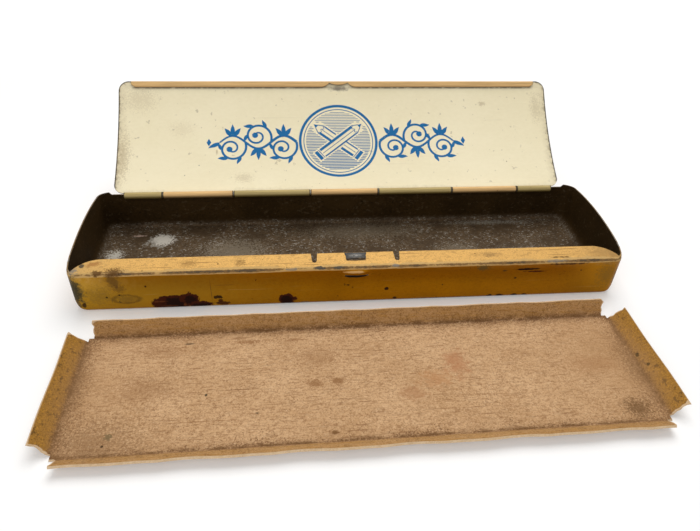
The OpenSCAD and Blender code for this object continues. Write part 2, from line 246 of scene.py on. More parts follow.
def make_piece(name, points, faces, slots, materials, body, marks=None, sharp=38.0):
    """Mesh object from millimetre points and quads, welded, shaded smooth and put on a body."""
    mesh = bpy.data.meshes.new(name)
    mesh.vertices.add(len(points))
    mesh.vertices.foreach_set("co", (np.asarray(points, float) * MM).ravel())
    mesh.loops.add(4 * len(faces))
    mesh.loops.foreach_set("vertex_index", np.asarray(faces, np.int32).ravel())
    mesh.polygons.add(len(faces))
    mesh.polygons.foreach_set("loop_start", np.arange(len(faces), dtype=np.int32) * 4)
    mesh.polygons.foreach_set("material_index", np.asarray(slots, np.int32))
    for mark, values in (marks or {}).items():
        layer = mesh.attributes.new(mark, "FLOAT", "POINT")
        layer.data.foreach_set("value", np.asarray(values, np.float32).ravel())
    mesh.update(calc_edges=True)
    mesh.validate()
    solid = bmesh.new()
    solid.from_mesh(mesh)
    bmesh.ops.remove_doubles(solid, verts=solid.verts, dist=1e-7)
    bmesh.ops.dissolve_degenerate(solid, edges=solid.edges, dist=1e-8)
    solid.to_mesh(mesh)
    solid.free()
    mesh.polygons.foreach_set("use_smooth", np.ones(len(mesh.polygons), bool))
    mesh.set_sharp_from_angle(angle=math.radians(sharp))
    for material in materials:
        mesh.materials.append(material)
    piece = bpy.data.objects.new(name, mesh)
    bpy.context.scene.collection.objects.link(piece)
    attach(piece, body)
    return piece


def grid_cells(rows, columns, wrap):
    """Corner indices a, b, c, d of every cell of a grid, counter-clockwise in (column, row)."""
    index = np.arange(rows * columns).reshape(rows, columns)
    right = np.roll(index, -1, axis=1) if wrap else index[:, 1:]
    left = index if wrap else index[:, :-1]
    return left[:-1], right[:-1], right[1:], left[1:]


def sheet_faces(rows, columns, keep=None, wrap=False, flip=False):
    """Quads of a sheet: both skins over the cells to keep, and a strip along every open edge.

    The inner skin's points follow the outer skin's. A cell side is open where the cell is kept
    and its neighbour across that side isn't; a wrapped sheet meets itself along its first row.
    """
    a, b, c, d = grid_cells(rows, columns, wrap)
    if keep is None:
        keep = np.ones(a.shape, bool)
    total = rows * columns
    padded = np.pad(keep, 1)
    if wrap:
        padded[1:-1, 0], padded[1:-1, -1] = keep[:, -1], keep[:, 0]
        padded[0] = True
    sides = ((a, b, padded[:-2, 1:-1]), (b, c, padded[1:-1, 2:]),
             (c, d, padded[2:, 1:-1]), (d, a, padded[1:-1, :-2]))
    quads = [np.stack([a, b, c, d], -1)[keep], np.stack([d, c, b, a], -1)[keep] + total]
    slots = [np.full(len(quads[0]), OUTER), np.full(len(quads[1]), INNER)]
    for start, end, neighbour in sides:
        bare = keep & ~neighbour
        strip = np.stack([end, start, start + total, end + total], -1)[bare]
        quads.append(strip)
        slots.append(np.full(len(strip), EDGE))
    faces = np.concatenate(quads)
    return (faces[:, ::-1] if flip else faces), np.concatenate(slots)


def make_sheet(name, outer, inner, materials, body, keep=None, wrap=False, flip=False,
               marks=None, sharp=38.0):
    """A piece of sheet between two skins, each an array of points [row, column, xyz]."""
    rows, columns = outer.shape[:2]
    faces, slots = sheet_faces(rows, columns, keep, wrap, flip)
    points = np.concatenate([outer.reshape(-1, 3), inner.reshape(-1, 3)])
    both = {mark: np.concatenate([np.broadcast_to(v, (rows, columns)).ravel()] * 2)
            for mark, v in (marks or {}).items()}
    return make_piece(name, points, faces, slots, materials, body, both, sharp)


def join_sheets(parts, marks_of=None):
    """Several sheets in one, each given as (outer, inner, flip), with marks of their skins."""
    points, faces, slots, marks, first = [], [], [], {}, 0
    for outer, inner, flip in parts:
        rows, columns = outer.shape[:2]
        quads, kinds = sheet_faces(rows, columns, flip=flip)
        for skin in (outer, inner):
            points.append(skin.reshape(-1, 3))
            for name, values in (marks_of(skin) if marks_of else {}).items():
                marks.setdefault(name, []).append(values.ravel())
        faces.append(quads + first)
        slots.append(kinds)
        first += 2 * rows * columns
    joined = {name: np.concatenate(values) for name, values in marks.items()}
    return np.concatenate(points), np.concatenate(faces), np.concatenate(slots), joined


def smooth(t):
    """Smoothstep: 3 t^2 - 2 t^3, with t held between 0 and 1."""
    t = np.clip(t, 0.0, 1.0)
    return t * t * (3.0 - 2.0 * t)


def stations(*groups, least=0.015):
    """All the given positions in order, without those closer than `least` to the last."""
    values = np.unique(np.round(np.concatenate([np.atleast_1d(g) for g in groups]), 4))
    return values[np.concatenate([[True], np.diff(values) > least])]


def both_ways(side):
    """Positions from nought outwards, and their mirror images before them."""
    return np.concatenate([-side[:0:-1], side])


def points_of(*axes):
    """Points [..., axis] from coordinates that are spread over rows, columns or both."""
    return np.stack(np.broadcast_arrays(*axes), -1)


def turned(points, angle):
    """Flat points turned about the origin: (x cos a - y sin a, x sin a + y cos a)."""
    c, s = math.cos(angle), math.sin(angle)
    return points @ np.array([[c, s], [-s, c]])


def bell(distance, reach):
    """exp(-(distance / reach)^2)."""
    return np.exp(-(distance / reach) ** 2)


def on_circle(radius, y, m):
    """Height of the tin's camber: z = centre + sqrt(radius^2 - y^2)."""
    return m.arch_z + np.sqrt(radius ** 2 - y ** 2)


# ---- Tray ------------------------------------------------------------------------------


def slot_depth(x, m):
    """How far a relief slot cuts back from the lip's edge at x.

    Its sides fall straight from the mouth to the end, which is round: sqrt(end_r^2 - off^2).
    """
    off = np.abs(np.abs(x) - m.slot_pitch / 2)
    end_r, mouth = m.slot_end / 2, m.slot_width / 2
    straight = m.slot_length - end_r
    side = straight * np.clip((mouth - off) / (mouth - end_r), 0.0, 1.0)
    tip = np.sqrt(np.maximum(end_r ** 2 - off ** 2, 0.0))
    return side + tip


def lip_edge_y(x, m):
    """Free edge of the lip: straight, slotted, and at each end centre + sqrt(r^2 - over^2)."""
    over = np.maximum(np.abs(x) - m.taper_x, 0.0)
    arc = m.lip_edge - m.taper_r + np.sqrt(np.maximum(m.taper_r ** 2 - over ** 2, 0.0))
    return arc - slot_depth(x, m)


def catch_half(v, m):
    """Half width of the catch at v from root (0) to tip (1).

    The lesser of a straight taper and a side hollowed by a circle of radius catch_length.
    """
    y = -m.catch_length * v
    plain = m.catch_root / 2 + (m.catch_tip - m.catch_root) / 2 * v
    r = m.catch_length
    hollow = (m.catch_root / 2 + r - m.catch_waist
              - np.sqrt(np.maximum(r ** 2 - (y + r / 2) ** 2, 0.0)))
    return np.minimum(plain, hollow)


def tray_columns(m):
    """Positions along the long sides: even steps, closer at slots, catch, ledge and knuckles."""
    slot = np.array([1.3, 1.12, 1.09, 1.0, 0.9, 0.81, 0.79, 0.75, 0.65, 0.5, 0.35, 0.17, 0.0])
    slot = np.concatenate([-slot, slot])
    catch = np.array([2.4, 3.0, 3.4, 3.79, 3.81, 4.2, 4.8])
    jumps = np.array([0.02, -0.02])
    edges = [m.pitch - m.tin_knuckle / 2 - m.knuckle_gap / 1e3, m.pitch + m.tin_knuckle / 2,
             m.end_x - m.end_knuckle / 2]
    end = m.half_l - m.back_corner
    side = stations(np.linspace(0, end, 31), m.slot_pitch / 2 + slot, catch,
                    np.arange(0, m.ledge_width / 2 + 0.6, 0.5), *[e + jumps for e in edges],
                    np.arange(m.taper_x, end + 0.01, 1.0))
    return both_ways(side)


def tray_path(m):
    """Closed plan path of the tray, anticlockwise from the left end of the front wall.

    Straight sides joined by quarter circles, each point its centre + radius * outward normal.
    Returns x, y and the outward normal's x and y.
    """
    xs = tray_columns(m)
    rf, rb = m.front_corner, m.back_corner
    fx, fy, bx, by = m.half_l - rf, -(m.half_w - rf), m.half_l - rb, m.half_w - rb
    front = stations(xs, [fx, -fx, fx - 1, 1 - fx])
    ends = np.linspace(fy, by, 19)
    turn = np.radians(np.arange(1, 9) * 10.0)
    s, c = np.sin(turn), np.cos(turn)

    def corner(x, y, r, nx, ny):
        return x + r * nx, y + r * ny, nx, ny

    runs = [np.broadcast_arrays(front, -m.half_w, 0, -1), corner(fx, fy, rf, s, -c),
            np.broadcast_arrays(m.half_l, ends, 1, 0), corner(bx, by, rb, c, s),
            np.broadcast_arrays(xs[::-1], m.half_w, 0, 1), corner(-bx, by, rb, -s, c),
            np.broadcast_arrays(-m.half_l, ends[::-1], -1, 0), corner(-fx, fy, rf, -c, -s)]
    return [np.concatenate(part) for part in zip(*runs)]


def squeeze(v, whole, part, fixed):
    """Draws v in: what lies past `fixed` shrinks evenly, so that `whole` comes to `part`."""
    over = np.maximum(np.abs(v) - fixed, 0.0)
    return np.sign(v) * (np.minimum(np.abs(v), fixed) + over * (part - fixed) / (whole - fixed))


def rim_height(x, y, m):
    """Height of the tray's raw rim: the camber's circle on the ends, the hinge's height behind.

    Where a knuckle of the lid lies, the back is lower by that knuckle's radius and gap.
    """
    rim = on_circle(m.arch_r, y, m)
    behind = (y > m.half_w - m.back_corner) & (np.abs(x) < m.half_l - 3.5)
    low = np.full_like(rim, m.hinge_z)
    for centre in m.lid_centres:
        near = np.abs(x - centre) < m.lid_knuckle / 2 + m.knuckle_gap
        low = np.where(near, m.hinge_z - m.roll_out - ROLL_GAP, low)
    return np.where(behind, low, rim)


def tray_skin(m, inset):
    """One skin of the tray: points [row, column, xyz], fade from lip to raw rim, lip's reach, x.

    Rows run from the floor's middle line out to the walls, round the bottom fillet
    (x = r (1 - sin a), z = r (1 - cos a)), up the wall to the rim, round the lip's bend and
    along the lip on the camber's circle to its free edge.
    """
    x, y, nx, ny = tray_path(m)
    x, y = x - nx * inset, y - ny * inset
    half_l, half_w = m.half_l - inset, m.half_w - inset
    end_r, long_r = m.end_bottom - inset, m.long_bottom - inset
    r_foot = long_r + (end_r - long_r) * nx ** 2
    fixed_x, fixed_y = half_l - FLAT_X, half_w - FLAT_Y

    def drawn_in(share):
        return (squeeze(x, half_l, half_l - end_r * share, fixed_x),
                squeeze(y, half_w, half_w - long_r * share, fixed_y))

    floor_x, floor_y = drawn_in(1.0)
    core = np.clip(floor_x, -fixed_x, fixed_x)
    rows = [(core + (floor_x - core) * share, floor_y * share, 0 * x + inset)
            for share in (0.0, 0.3, 0.6, 0.85)]
    for turn in np.radians(np.linspace(0, 90, 8)):
        rows.append((*drawn_in(1 - math.sin(turn)), inset + r_foot * (1 - math.cos(turn))))

    # The lip gives way to the raw rim over the end of each front corner and 4 mm behind it
    corner_turn = np.degrees(np.arctan2(np.abs(nx), -ny))
    along_end = np.maximum(y + m.half_w - m.front_corner, 0.0)
    fade = smooth((corner_turn - 58.0) / 32.0 * 0.5 + along_end / 4.0 * 0.5)
    fade = np.where(y > 0, 1.0, fade)
    bend_r = m.lip_bend - inset
    start_y = y - ny * bend_r * (1 - math.cos(LIP_TURN))
    lip_top = on_circle(m.lip_r - inset, start_y, m)
    top = lip_top + (rim_height(x, y, m) - lip_top) * fade
    turn_in = LIP_TURN * (1 - fade)
    knee = top - bend_r * np.sin(turn_in)
    foot = inset + r_foot
    # The wall's rows, as heights at the nail ledge, which bulges out from its lower edge
    low, high = m.ledge_low, knee[np.argmin(np.abs(x) + y)]
    heights = np.array([4.0, 7.0, 9.5, low - m.ledge_slit - 0.35, low - m.ledge_slit, low,
                        low + 0.5, low + 1.0, low + 1.45, high])
    shares = (heights - m.long_bottom) / (high - m.long_bottom)
    bulge = m.ledge_out * np.clip(1 - (x / (m.ledge_width / 2)) ** 2, 0.0, 1.0) * (ny < -0.99)
    swell = np.interp(heights, [low - 0.01, low, low + 1.0, high], [0.0, 1.0, 0.94, 0.0])
    for share, out in zip(shares, swell):
        rows.append((x, y - bulge * out, foot + (knee - foot) * share))
    for part in np.linspace(0, 1, 8)[1:]:
        reach = bend_r * (1 - np.cos(turn_in * part))
        rows.append((x - nx * reach, y - ny * reach, knee + bend_r * np.sin(turn_in * part)))

    last_x, last_y, last_z = rows[-1]
    # Along the lip, with seven rows from the catch's tip to its root
    gap = np.where(ny < -0.01, lip_edge_y(last_x, m) - last_y, 0.0)
    bend_reach = m.lip_bend * (1 - math.cos(LIP_TURN))
    root = m.lip_edge - m.catch_inset - m.sheet + m.half_w
    tip, root = ((end - bend_reach) / (m.lip_width - bend_reach)
                 for end in (root - m.catch_length, root))
    for step in (tip / 2, *(tip + (root - tip) * np.linspace(0, 1, 7)), 1.0):
        py = last_y + np.maximum(gap, 0.0) * step
        v = np.clip((root - step) / (root - tip), 0.0, 1.0)
        shift = (catch_half(v, m) - WINDOW) * (tip - 1e-6 <= step <= root + 1e-6)
        near = np.clip(1 - np.abs(np.abs(last_x) - WINDOW), 0.0, 1.0)
        px = last_x + np.sign(last_x) * near * shift
        rows.append((px, py, np.where(gap > 0, on_circle(m.lip_r - inset, py, m), last_z)))
    return np.array([np.stack(row, -1) for row in rows]), fade, gap, x


def build_tray(m, materials):
    """The pressed tray with its slotted lip and the slit under its nail ledge.

    Cells of the skins' grid are left out at the slit, at the catch, past the lip's ends and
    wherever the lip's reach is nought.
    """
    outer, fade, gap, x = tray_skin(m, 0.0)
    inner = tray_skin(m, m.sheet)[0]
    rows, columns = outer.shape[:2]
    keep = np.ones((rows - 1, columns), bool)
    middle = np.abs((x + np.roll(x, -1)) / 2)

    def either(hit):
        return hit | np.roll(hit, -1)

    front = ~either(outer[WALL, :, 1] >= -m.half_w + 0.01)
    keep[SLIT, front & (middle < m.ledge_width / 2 - m.ledge_slit_end)] = False
    keep[BEND:, either(fade > 0.995)] = False
    keep[LIP:, either(gap < 0.02)] = False
    keep[OPENING:OPENING + 6, front & (middle < WINDOW)] = False
    level = np.zeros((rows, 1))
    level[FILLET:FILLET + 4] = 0.35
    level[BEND - 1:LIP + 4, 0] = [0.2, 0.45, 0.7, 0.85, 0.95, 1.0, 1.0, 0.9, 0.75, 0.45, 0.25,
                                  0.1]
    level[-1] = 0.45
    row = np.arange(rows)[:, None]
    return make_sheet("tin_tray", outer, inner, materials, "tin", keep, wrap=True,
                      marks={"edge": level, "raw": (row >= BEND) * smooth((fade - 0.6) / 0.4),
                             "lip": smooth((row - BEND) / 5)})


def build_catch(m, materials):
    """The catch: a waisted tab bent up out of the lip, with a slightly dished face.

    Over u across it and v along it, z = camber + rise * smoothstep(v) - 0.1 u^2.
    """
    v = np.linspace(-0.08, 1, 13)[:, None]
    u = np.linspace(-1, 1, 17)[None, :]
    y = m.lip_edge - m.catch_inset - m.catch_length * v
    half = catch_half(np.clip(v, 0, 1), m)
    rise = m.catch_rise * smooth(v / 0.9)
    z = on_circle(m.lip_r, y, m) + 0.02 + rise - 0.1 * (u ** 2) * smooth(v * 2)
    outer = points_of(u * half, y, z)
    inner = outer - np.array([0, 0, m.sheet * 0.9])
    dish = np.exp(-((u / 0.55) ** 2 + ((v - 0.45) / 0.28) ** 2))
    return make_sheet("tin_catch", outer, inner, materials, "tin", flip=True,
                      marks={"edge": smooth((v - 0.86) / 0.1), "dish": dish})


def rolled_knuckle(x_from, x_to, begin, end, m):
    """Skins of one rolled knuckle: a sheet wound round the hinge axis from begin to end.

    Point = axis + r (cos a, sin a) in (Y, Z).
    """
    turn = np.linspace(begin, end, 33)[:, None]
    along = np.linspace(x_from, x_to, max(2, int((x_to - x_from) / 3) + 1))[None, :]
    return [points_of(along, m.hinge_y + radius * np.cos(turn), m.hinge_z + radius * np.sin(turn))
            for radius in (m.roll_out, m.roll_in)]


def joint_marks(skin):
    """Marks of a knuckle: distance to its nearer end in millimetres, and its shaded side."""
    x, z = skin[..., 0], skin[..., 2]
    joint = np.minimum(x - x.min(), x.max() - x)
    low = smooth((z.mean() + 0.25 - z) / 0.7)
    return {"joint": joint, "low": low}


def opened(points, m):
    """Turns closed-lid points about the hinge axis to the open stop: (c y - s z, s y + c z)."""
    c, s = math.cos(-m.open), math.sin(-m.open)
    y, z = points[..., 1] - m.hinge_y, points[..., 2] - m.hinge_z
    return points_of(points[..., 0], m.hinge_y + c * y - s * z, m.hinge_z + s * y + c * z)


def build_knuckles(body, spans, m, materials):
    """The knuckles rolled from one body's sheet over the wire, given as (middle, length)."""
    begin, end = (math.radians(a) for a in KNUCKLE_TURNS[body])
    parts = []
    for middle, size in spans:
        skins = rolled_knuckle(middle - size / 2, middle + size / 2, begin, end, m)
        if body == "lid":
            skins = [opened(skin, m) for skin in skins]
        parts.append((*skins, body == "tin"))
    points, faces, slots, marks = join_sheets(parts, joint_marks)
    return make_piece(body + "_knuckles", points, faces, slots, materials, body, marks)


# ---- Lid -------------------------------------------------------------------------------


def lid_point(x, y, depth, m):
    """Point of the opened lid that lies `depth` under its outer face, over plan place (x, y).

    On the camber, y = r sin a and z = centre + r cos a, with r less by the depth.
    """
    a, r = np.arcsin(y / m.arch_r), m.arch_r - depth
    return opened(points_of(x, r * np.sin(a), m.arch_z + r * np.cos(a)), m)


def corner_cut(x, m):
    """How far a lid's rounded corner draws its edge in at x: r - sqrt(r^2 - over^2)."""
    over = np.clip(np.abs(x) - (m.lid_half - m.corner), 0.0, m.corner)
    return m.corner - np.sqrt(m.corner ** 2 - over ** 2)


def build_lid_panel(m, materials):
    """The cambered lid, with rounded corners and a tab running to each of its knuckles.

    Each column is front + (back - front) * share, with both edges drawn in at the corners.
    """
    sweep = m.lid_half - m.corner + m.corner * np.sin(np.radians(np.linspace(0, 90, 12)))
    hem_half = m.lid_half - m.hem_end
    tabs = [c + side * (m.lid_knuckle / 2 + d) for c in (0.0, 2 * m.pitch)
            for side in (-1, 1) for d in (0.0, 0.03)]
    side = stations(np.arange(0, m.lid_half - m.corner - 2, 3), sweep, [t for t in tabs if t > 0],
                    [hem_half, hem_half + 0.03])
    x = both_ways(side)
    cut = corner_cut(x, m)
    fold = np.where(np.abs(x) <= hem_half, m.hem_t / 2, 0.0)
    front = m.front + np.maximum(fold, cut)
    on_tab = np.zeros_like(x, bool)
    for centre in m.lid_centres:
        on_tab |= np.abs(x - centre) <= m.lid_knuckle / 2 + 0.001
    back = np.where(on_tab, m.hinge_y, m.lid_back - cut)
    rows = np.concatenate([[0.0, 0.006, 0.012, 0.03, 0.04, 0.0445, 0.049, 0.054, 0.062],
                           np.linspace(0.10, 0.94, 14), [0.97, 0.988, 0.994, 1.0]])[:, None]
    y = front + (back - front) * rows
    outer = lid_point(x[None, :], y, 0.0, m)
    inner = lid_point(x[None, :], y, m.sheet, m)
    rim = np.minimum(m.lid_half - np.abs(x)[None, :] + 0 * y, y - front[None, :])
    rim = np.minimum(rim, back[None, :] - y + 1.6)
    tint = smooth(1 - rim / 2.5)
    # Painted shadow on the enamel just past the hem's edge
    past_hem = y - m.front - hem_depth(x, m)[None, :]
    hem_shadow = np.exp(-((past_hem - 0.1) / 0.45) ** 2) * (np.abs(x) <= hem_half)[None, :]
    return make_sheet("lid_panel", outer, inner, materials, "lid",
                      marks={"rim": rim, "edge": tint * 0.5, "hem_shadow": hem_shadow})


def hem_depth(x, m):
    """Depth of the hem at x: full, with two curved notches, a round tongue and round ends.

    Notches and tongue are arcs, top - r + sqrt(r^2 - x^2), with r = (w^2 + h^2) / 2h from
    their half chord w and their height h.
    """
    across = np.abs(x)
    shoulder_w = (m.hem_cut - m.tongue_width) / 2
    shoulder_h = m.hem - m.notch
    r = (shoulder_w ** 2 + shoulder_h ** 2) / (2 * shoulder_h)
    over = np.clip(m.hem_cut / 2 - across, 0.0, shoulder_w)
    shoulder = m.hem - r + np.sqrt(r ** 2 - over ** 2)
    rise = m.tongue - m.notch
    t = (m.tongue_width ** 2 / 4 + rise ** 2) / (2 * rise)
    tongue = m.tongue - t + np.sqrt(np.maximum(t ** 2 - across ** 2, 0.0))
    depth = np.where(across < m.tongue_width / 2, tongue, shoulder)
    to_end = m.lid_half - m.hem_end - across
    rounded = m.hem_t + (m.hem - m.hem_t) * np.sqrt(np.clip(to_end / 1.8, 0.0, 1.0))
    return np.minimum(depth, rounded)


def build_lid_hem(m, materials):
    """The hem: the lid's sheet folded round its front edge and pressed back on the inside.

    Its section is a half circle, r (sin a, cos a), and then a flat that stands off the lid
    by sin(pi t).
    """
    half = m.lid_half - m.hem_end
    tongue = m.tongue_width / 2
    side = stations(np.linspace(0, half, 60), tongue + np.array([-0.3, -0.1, 0, 0.05, 0.15, 0.3]),
                    np.linspace(0, m.hem_cut / 2, 17), half - np.array([1.8, 1.3, .8, .4, .15]))
    x = both_ways(side)[None, :]
    mid = m.hem_t / 2
    y_fold = m.front + mid
    rows_out, rows_in = [], []
    for turn in np.linspace(0, math.pi, 9):
        for rows, r in ((rows_out, mid), (rows_in, mid - m.sheet)):
            rows.append(lid_point(x, y_fold - r * math.sin(turn), mid - r * math.cos(turn), m)[0])
    depth = hem_depth(x, m)
    for share in (0.2, 0.45, 0.7, 0.88, 1.0):
        y = y_fold + (depth - mid) * share
        lift = 0.06 * math.sin(share * math.pi)
        rows_out.append(lid_point(x, y, m.hem_t - lift, m)[0])
        rows_in.append(lid_point(x, y, m.hem_t - lift - m.sheet * 0.98, m)[0])
    outer, inner = np.array(rows_out), np.array(rows_in)
    edge = np.concatenate([np.sin(np.linspace(0, math.pi, 9)), [0.1, 0.1, 0.3, 0.7, 1.0]])
    # The low mark carries painted shade along the hem's free edge
    low = np.concatenate([np.zeros(9), [0.0, 0.0, 0.15, 0.6, 1.0]])
    return make_sheet("lid_hem", outer, inner, materials, "lid", flip=True,
                      marks={"edge": edge[:, None] * 0.5, "low": low[:, None],
                             "joint": half - np.abs(x) + 0.2})


# ---- Printed ornament ------------------------------------------------------------------


def stroke(path, half_width):
    """A stroke as a strip two points wide: centre line +- half_width along its normal."""
    path = np.asarray(path, float)
    along = np.gradient(path, axis=0)
    along /= np.maximum(np.linalg.norm(along, axis=1), 1e-9)[:, None]
    side = np.stack([-along[:, 1], along[:, 0]], -1)
    half = np.broadcast_to(half_width, len(path))[:, None]
    return np.stack([path + side * half, path - side * half])


def ring(radius, half_width, count=97):
    """A stroke round a circle (r cos t, r sin t)."""
    t = np.linspace(0, 1, count) * 2 * math.pi
    return stroke(points_of(radius * np.cos(t), radius * np.sin(t)), half_width)


def leaf(root, direction, size, breadth, bow=0.3, count=17):
    """A leaf: a bowed centre line whose half width swells as sin(pi t^0.8)."""
    t = np.linspace(0, 1, count)
    local = points_of(size * t, bow * size * 0.5 * np.sin(t * math.pi / 2) ** 2)
    path = np.asarray(root) + turned(local, direction)
    return stroke(path, breadth / 2 * np.sin(math.pi * t ** 0.8) + 0.03)


def placed(strokes, centre, turn=0.0):
    """Strokes turned about the origin and moved to centre."""
    return [turned(k, turn) + np.asarray(centre) for k in strokes]


def mirrored_strokes(strokes):
    """Strokes mirrored in the upright middle line, with their sides kept in order."""
    return [(k * np.array([-1.0, 1.0]))[::-1] for k in strokes]


def diamond(centre, size):
    """A diamond: a stroke whose half width grows from nothing and shrinks again."""
    x, y = centre
    return stroke([(x, y - size), (x, y), (x, y + size)], np.array([0.02, size * 0.55, 0.02]))


def pencil_strokes(back, front, width, point=0.0, cap=0.0):
    """A pencil seen flat from back to front: two solid facets round an open one.

    A point length adds the shaved cone and lead, a cap length adds the solid end.
    """
    edge = width / 2
    strokes = [stroke([(back, y), (front, y)], half)
               for y, half in ((edge - 0.55, 0.55), (-edge + 0.30, 0.30), (-0.15, 0.12))]
    if cap:
        strokes.append(stroke([(back - 0.55, -edge), (back - 0.55, edge)], 0.16))
        strokes.append(stroke([(back - 1.1 - cap, 0), (back - 1.1, 0)], edge))
    if point:
        t = np.linspace(0, 1, 9)
        wave = np.linspace(-edge, edge, 17)
        strokes.append(stroke(points_of(front + 0.45 * np.cos(wave * 3.6), wave), 0.14))
        strokes.append(stroke([(front + point * 0.62, 0), (front + point * 1.05, 0)],
                              np.array([width * 0.19, 0.03])))
        strokes += [stroke(points_of(front + 0.25 + point * 0.62 * t,
                                     side * (edge - 0.15) * (1 - 0.66 * t)), 0.17)
                    for side in (-1, 1)]
    return strokes


SCROLL_BAYS = 3


def scroll_strokes(reach, rise):
    """A running leafy scroll: stem y = a sin(pi x / w), with a volute and leaves in each bay.

    A volute is a spiral, its radius falling evenly as it turns, that leaves the stem where
    it crosses the middle line and curls under the next crest.
    """
    bay = reach / SCROLL_BAYS
    x = np.linspace(0, reach, 80)
    stem = points_of(x, rise * np.sin(math.pi * x / bay))
    strokes = [stroke(stem, 0.62 - 0.26 * x / reach)]
    for k in range(SCROLL_BAYS):
        up = 1 - 2 * (k % 2)
        crest = np.array([(k + 0.5) * bay, up * rise])
        middle = crest + np.array([0.04 * bay, -up * (rise + 0.26 * bay)])
        start = np.array([k * bay, 0.0]) - middle
        first, size = math.atan2(start[1], start[0]), np.linalg.norm(start)
        spin = np.linspace(0, 1, 70)
        turn = first + up * spin * 3.0 * math.pi
        radius = size * (1 - 0.84 * spin ** 0.8)
        volute = middle + points_of(radius * np.cos(turn), radius * np.sin(turn))
        strokes.append(stroke(volute, 0.50 - 0.16 * spin))
        strokes += placed([ring(0.62, 0.6, 25)], volute[-1])
        for at, size_share, breadth in ((9, 0.36, 0.13), (17, 0.40, 0.15), (25, 0.34, 0.13)):
            out = turn[at] + up * 0.95
            strokes.append(leaf(volute[at], out, bay * size_share, bay * breadth, up * 0.5))
        for lean, size_share in ((-0.85, 0.42), (0.0, 0.5), (0.85, 0.42)):
            strokes.append(leaf(crest + np.array([-math.sin(lean) * 0.6, 0]),
                                up * (math.pi / 2) + lean * up, bay * size_share, bay * 0.17,
                                -0.35 * lean * up))
    strokes.append(leaf(stem[-1], -0.5 * math.pi * 0.45, bay * 0.5, bay * 0.16, 0.4))
    return strokes


def hatch_strokes(radius, pitch, clear):
    """Fine level lines that fill a circle, left out wherever `clear` says so.

    Each is a chord, sqrt(radius^2 - y^2) long either way, and the lower ones are thicker.
    """
    strokes = []
    for y in np.arange(-radius + pitch, radius, pitch):
        reach = math.sqrt(radius ** 2 - y ** 2)
        xs = np.arange(-reach, reach, 0.15)
        free = ~clear(xs, y)
        cuts = np.flatnonzero(np.diff(np.concatenate([[0], free.astype(int), [0]])))
        for begin, stop in cuts.reshape(-1, 2):
            if stop - begin > 3:
                strokes.append(stroke([(xs[begin], y), (xs[stop - 1], y)],
                                      0.10 + 0.10 * (radius - y) / (2 * radius)))
    return strokes


def ornament_strokes(reach, height):
    """The whole ornament: crossed pencils in a hatched medallion between two leafy scrolls."""
    radius = height / 2 - 1.1
    body, width, point, cap = radius * 1.12, 4.4, 4.0, 1.5
    leans = (math.radians(38), math.radians(142))

    def on_pencils(xs, y):
        hit = np.zeros_like(xs, bool)
        for lean in leans:
            c, s = math.cos(lean), math.sin(lean)
            along, off = xs * c + y * s, -xs * s + y * c
            hit |= (np.abs(off) < width / 2 + 0.5) & (along > -body / 2 - 3.2) \
                & (along < body / 2 + point * 0.75)
            hit |= (np.abs(off) < 1.3) & (along > 0) & (along < body / 2 + point + 0.8)
        return hit

    strokes = [ring(radius + 0.55, 0.55), ring(radius - 1.0, 0.17)]
    passes = (width / 2 + 0.4) / math.sin(leans[1] - leans[0])
    strokes += placed(pencil_strokes(-body / 2, body / 2, width, point, cap), (0, 0), leans[0])
    strokes += placed(pencil_strokes(-body / 2, -passes, width, cap=cap)
                      + pencil_strokes(passes, body / 2, width, point), (0, 0), leans[1])
    strokes += hatch_strokes(radius - 1.9, pitch=0.72, clear=on_pencils)
    start = radius + 2.1
    scroll = placed(scroll_strokes(reach / 2 - start - 5.2, 2.9), (start, 0.0))
    scroll.append(diamond((reach / 2 - 0.8, 0), 1.7))
    return strokes + scroll + mirrored_strokes(scroll)


def build_print(m, materials):
    """The ornament as a thin film of ink on the lid's enamel, each point laid on its camber."""
    middle_x, middle_y = -1.0, 0.2
    parts = []
    for strip in ornament_strokes(m.print_length, m.print_height):
        x, y = strip[..., 0] + middle_x, middle_y - strip[..., 1]
        parts.append((lid_point(x, y, m.sheet + INK_OUT, m),
                      lid_point(x, y, m.sheet - INK_IN, m), True))
    points, faces, slots = join_sheets(parts)[:3]
    return make_piece("lid_print", points, faces, slots, materials, "lid", sharp=30.0)


# ---- Card liner ------------------------------------------------------------------------


def crease_line(half, flap, turn, flat):
    """One half of the liner's section: flat to the crease, a tight arc, then the flap.

    The slope grows as turn * smoothstep over the arc; the line is its running integral.
    Returns place, height, slope and share of the flap's height.
    """
    arc = CREASE_ARC
    s = np.concatenate([np.linspace(-arc, arc, 9), np.linspace(arc, flap, 6)[1:]])
    fine = np.linspace(-arc, flap, 400)
    slope = turn * smooth((fine + arc * 0.45) / arc)
    middle, step = (slope[1:] + slope[:-1]) / 2, np.diff(fine)
    out = half - arc + np.concatenate([[0], np.cumsum(np.cos(middle) * step)])
    up = np.concatenate([[0], np.cumsum(np.sin(middle) * step)])
    bent = (*(np.interp(s, fine, line) for line in (out, up, slope)),
            np.clip(s / flap, 0.0, 1.0))
    return [np.concatenate([first, rest]) for first, rest in
            zip((flat, 0 * flat, 0 * flat, 0 * flat), bent)]


def whole_section(low, high):
    """A section from two halves: place, slope and share change sign on the low side."""
    return [np.concatenate([sign * a[:0:-1], b])
            for a, b, sign in zip(low, high, (-1, 1, -1, -1))]


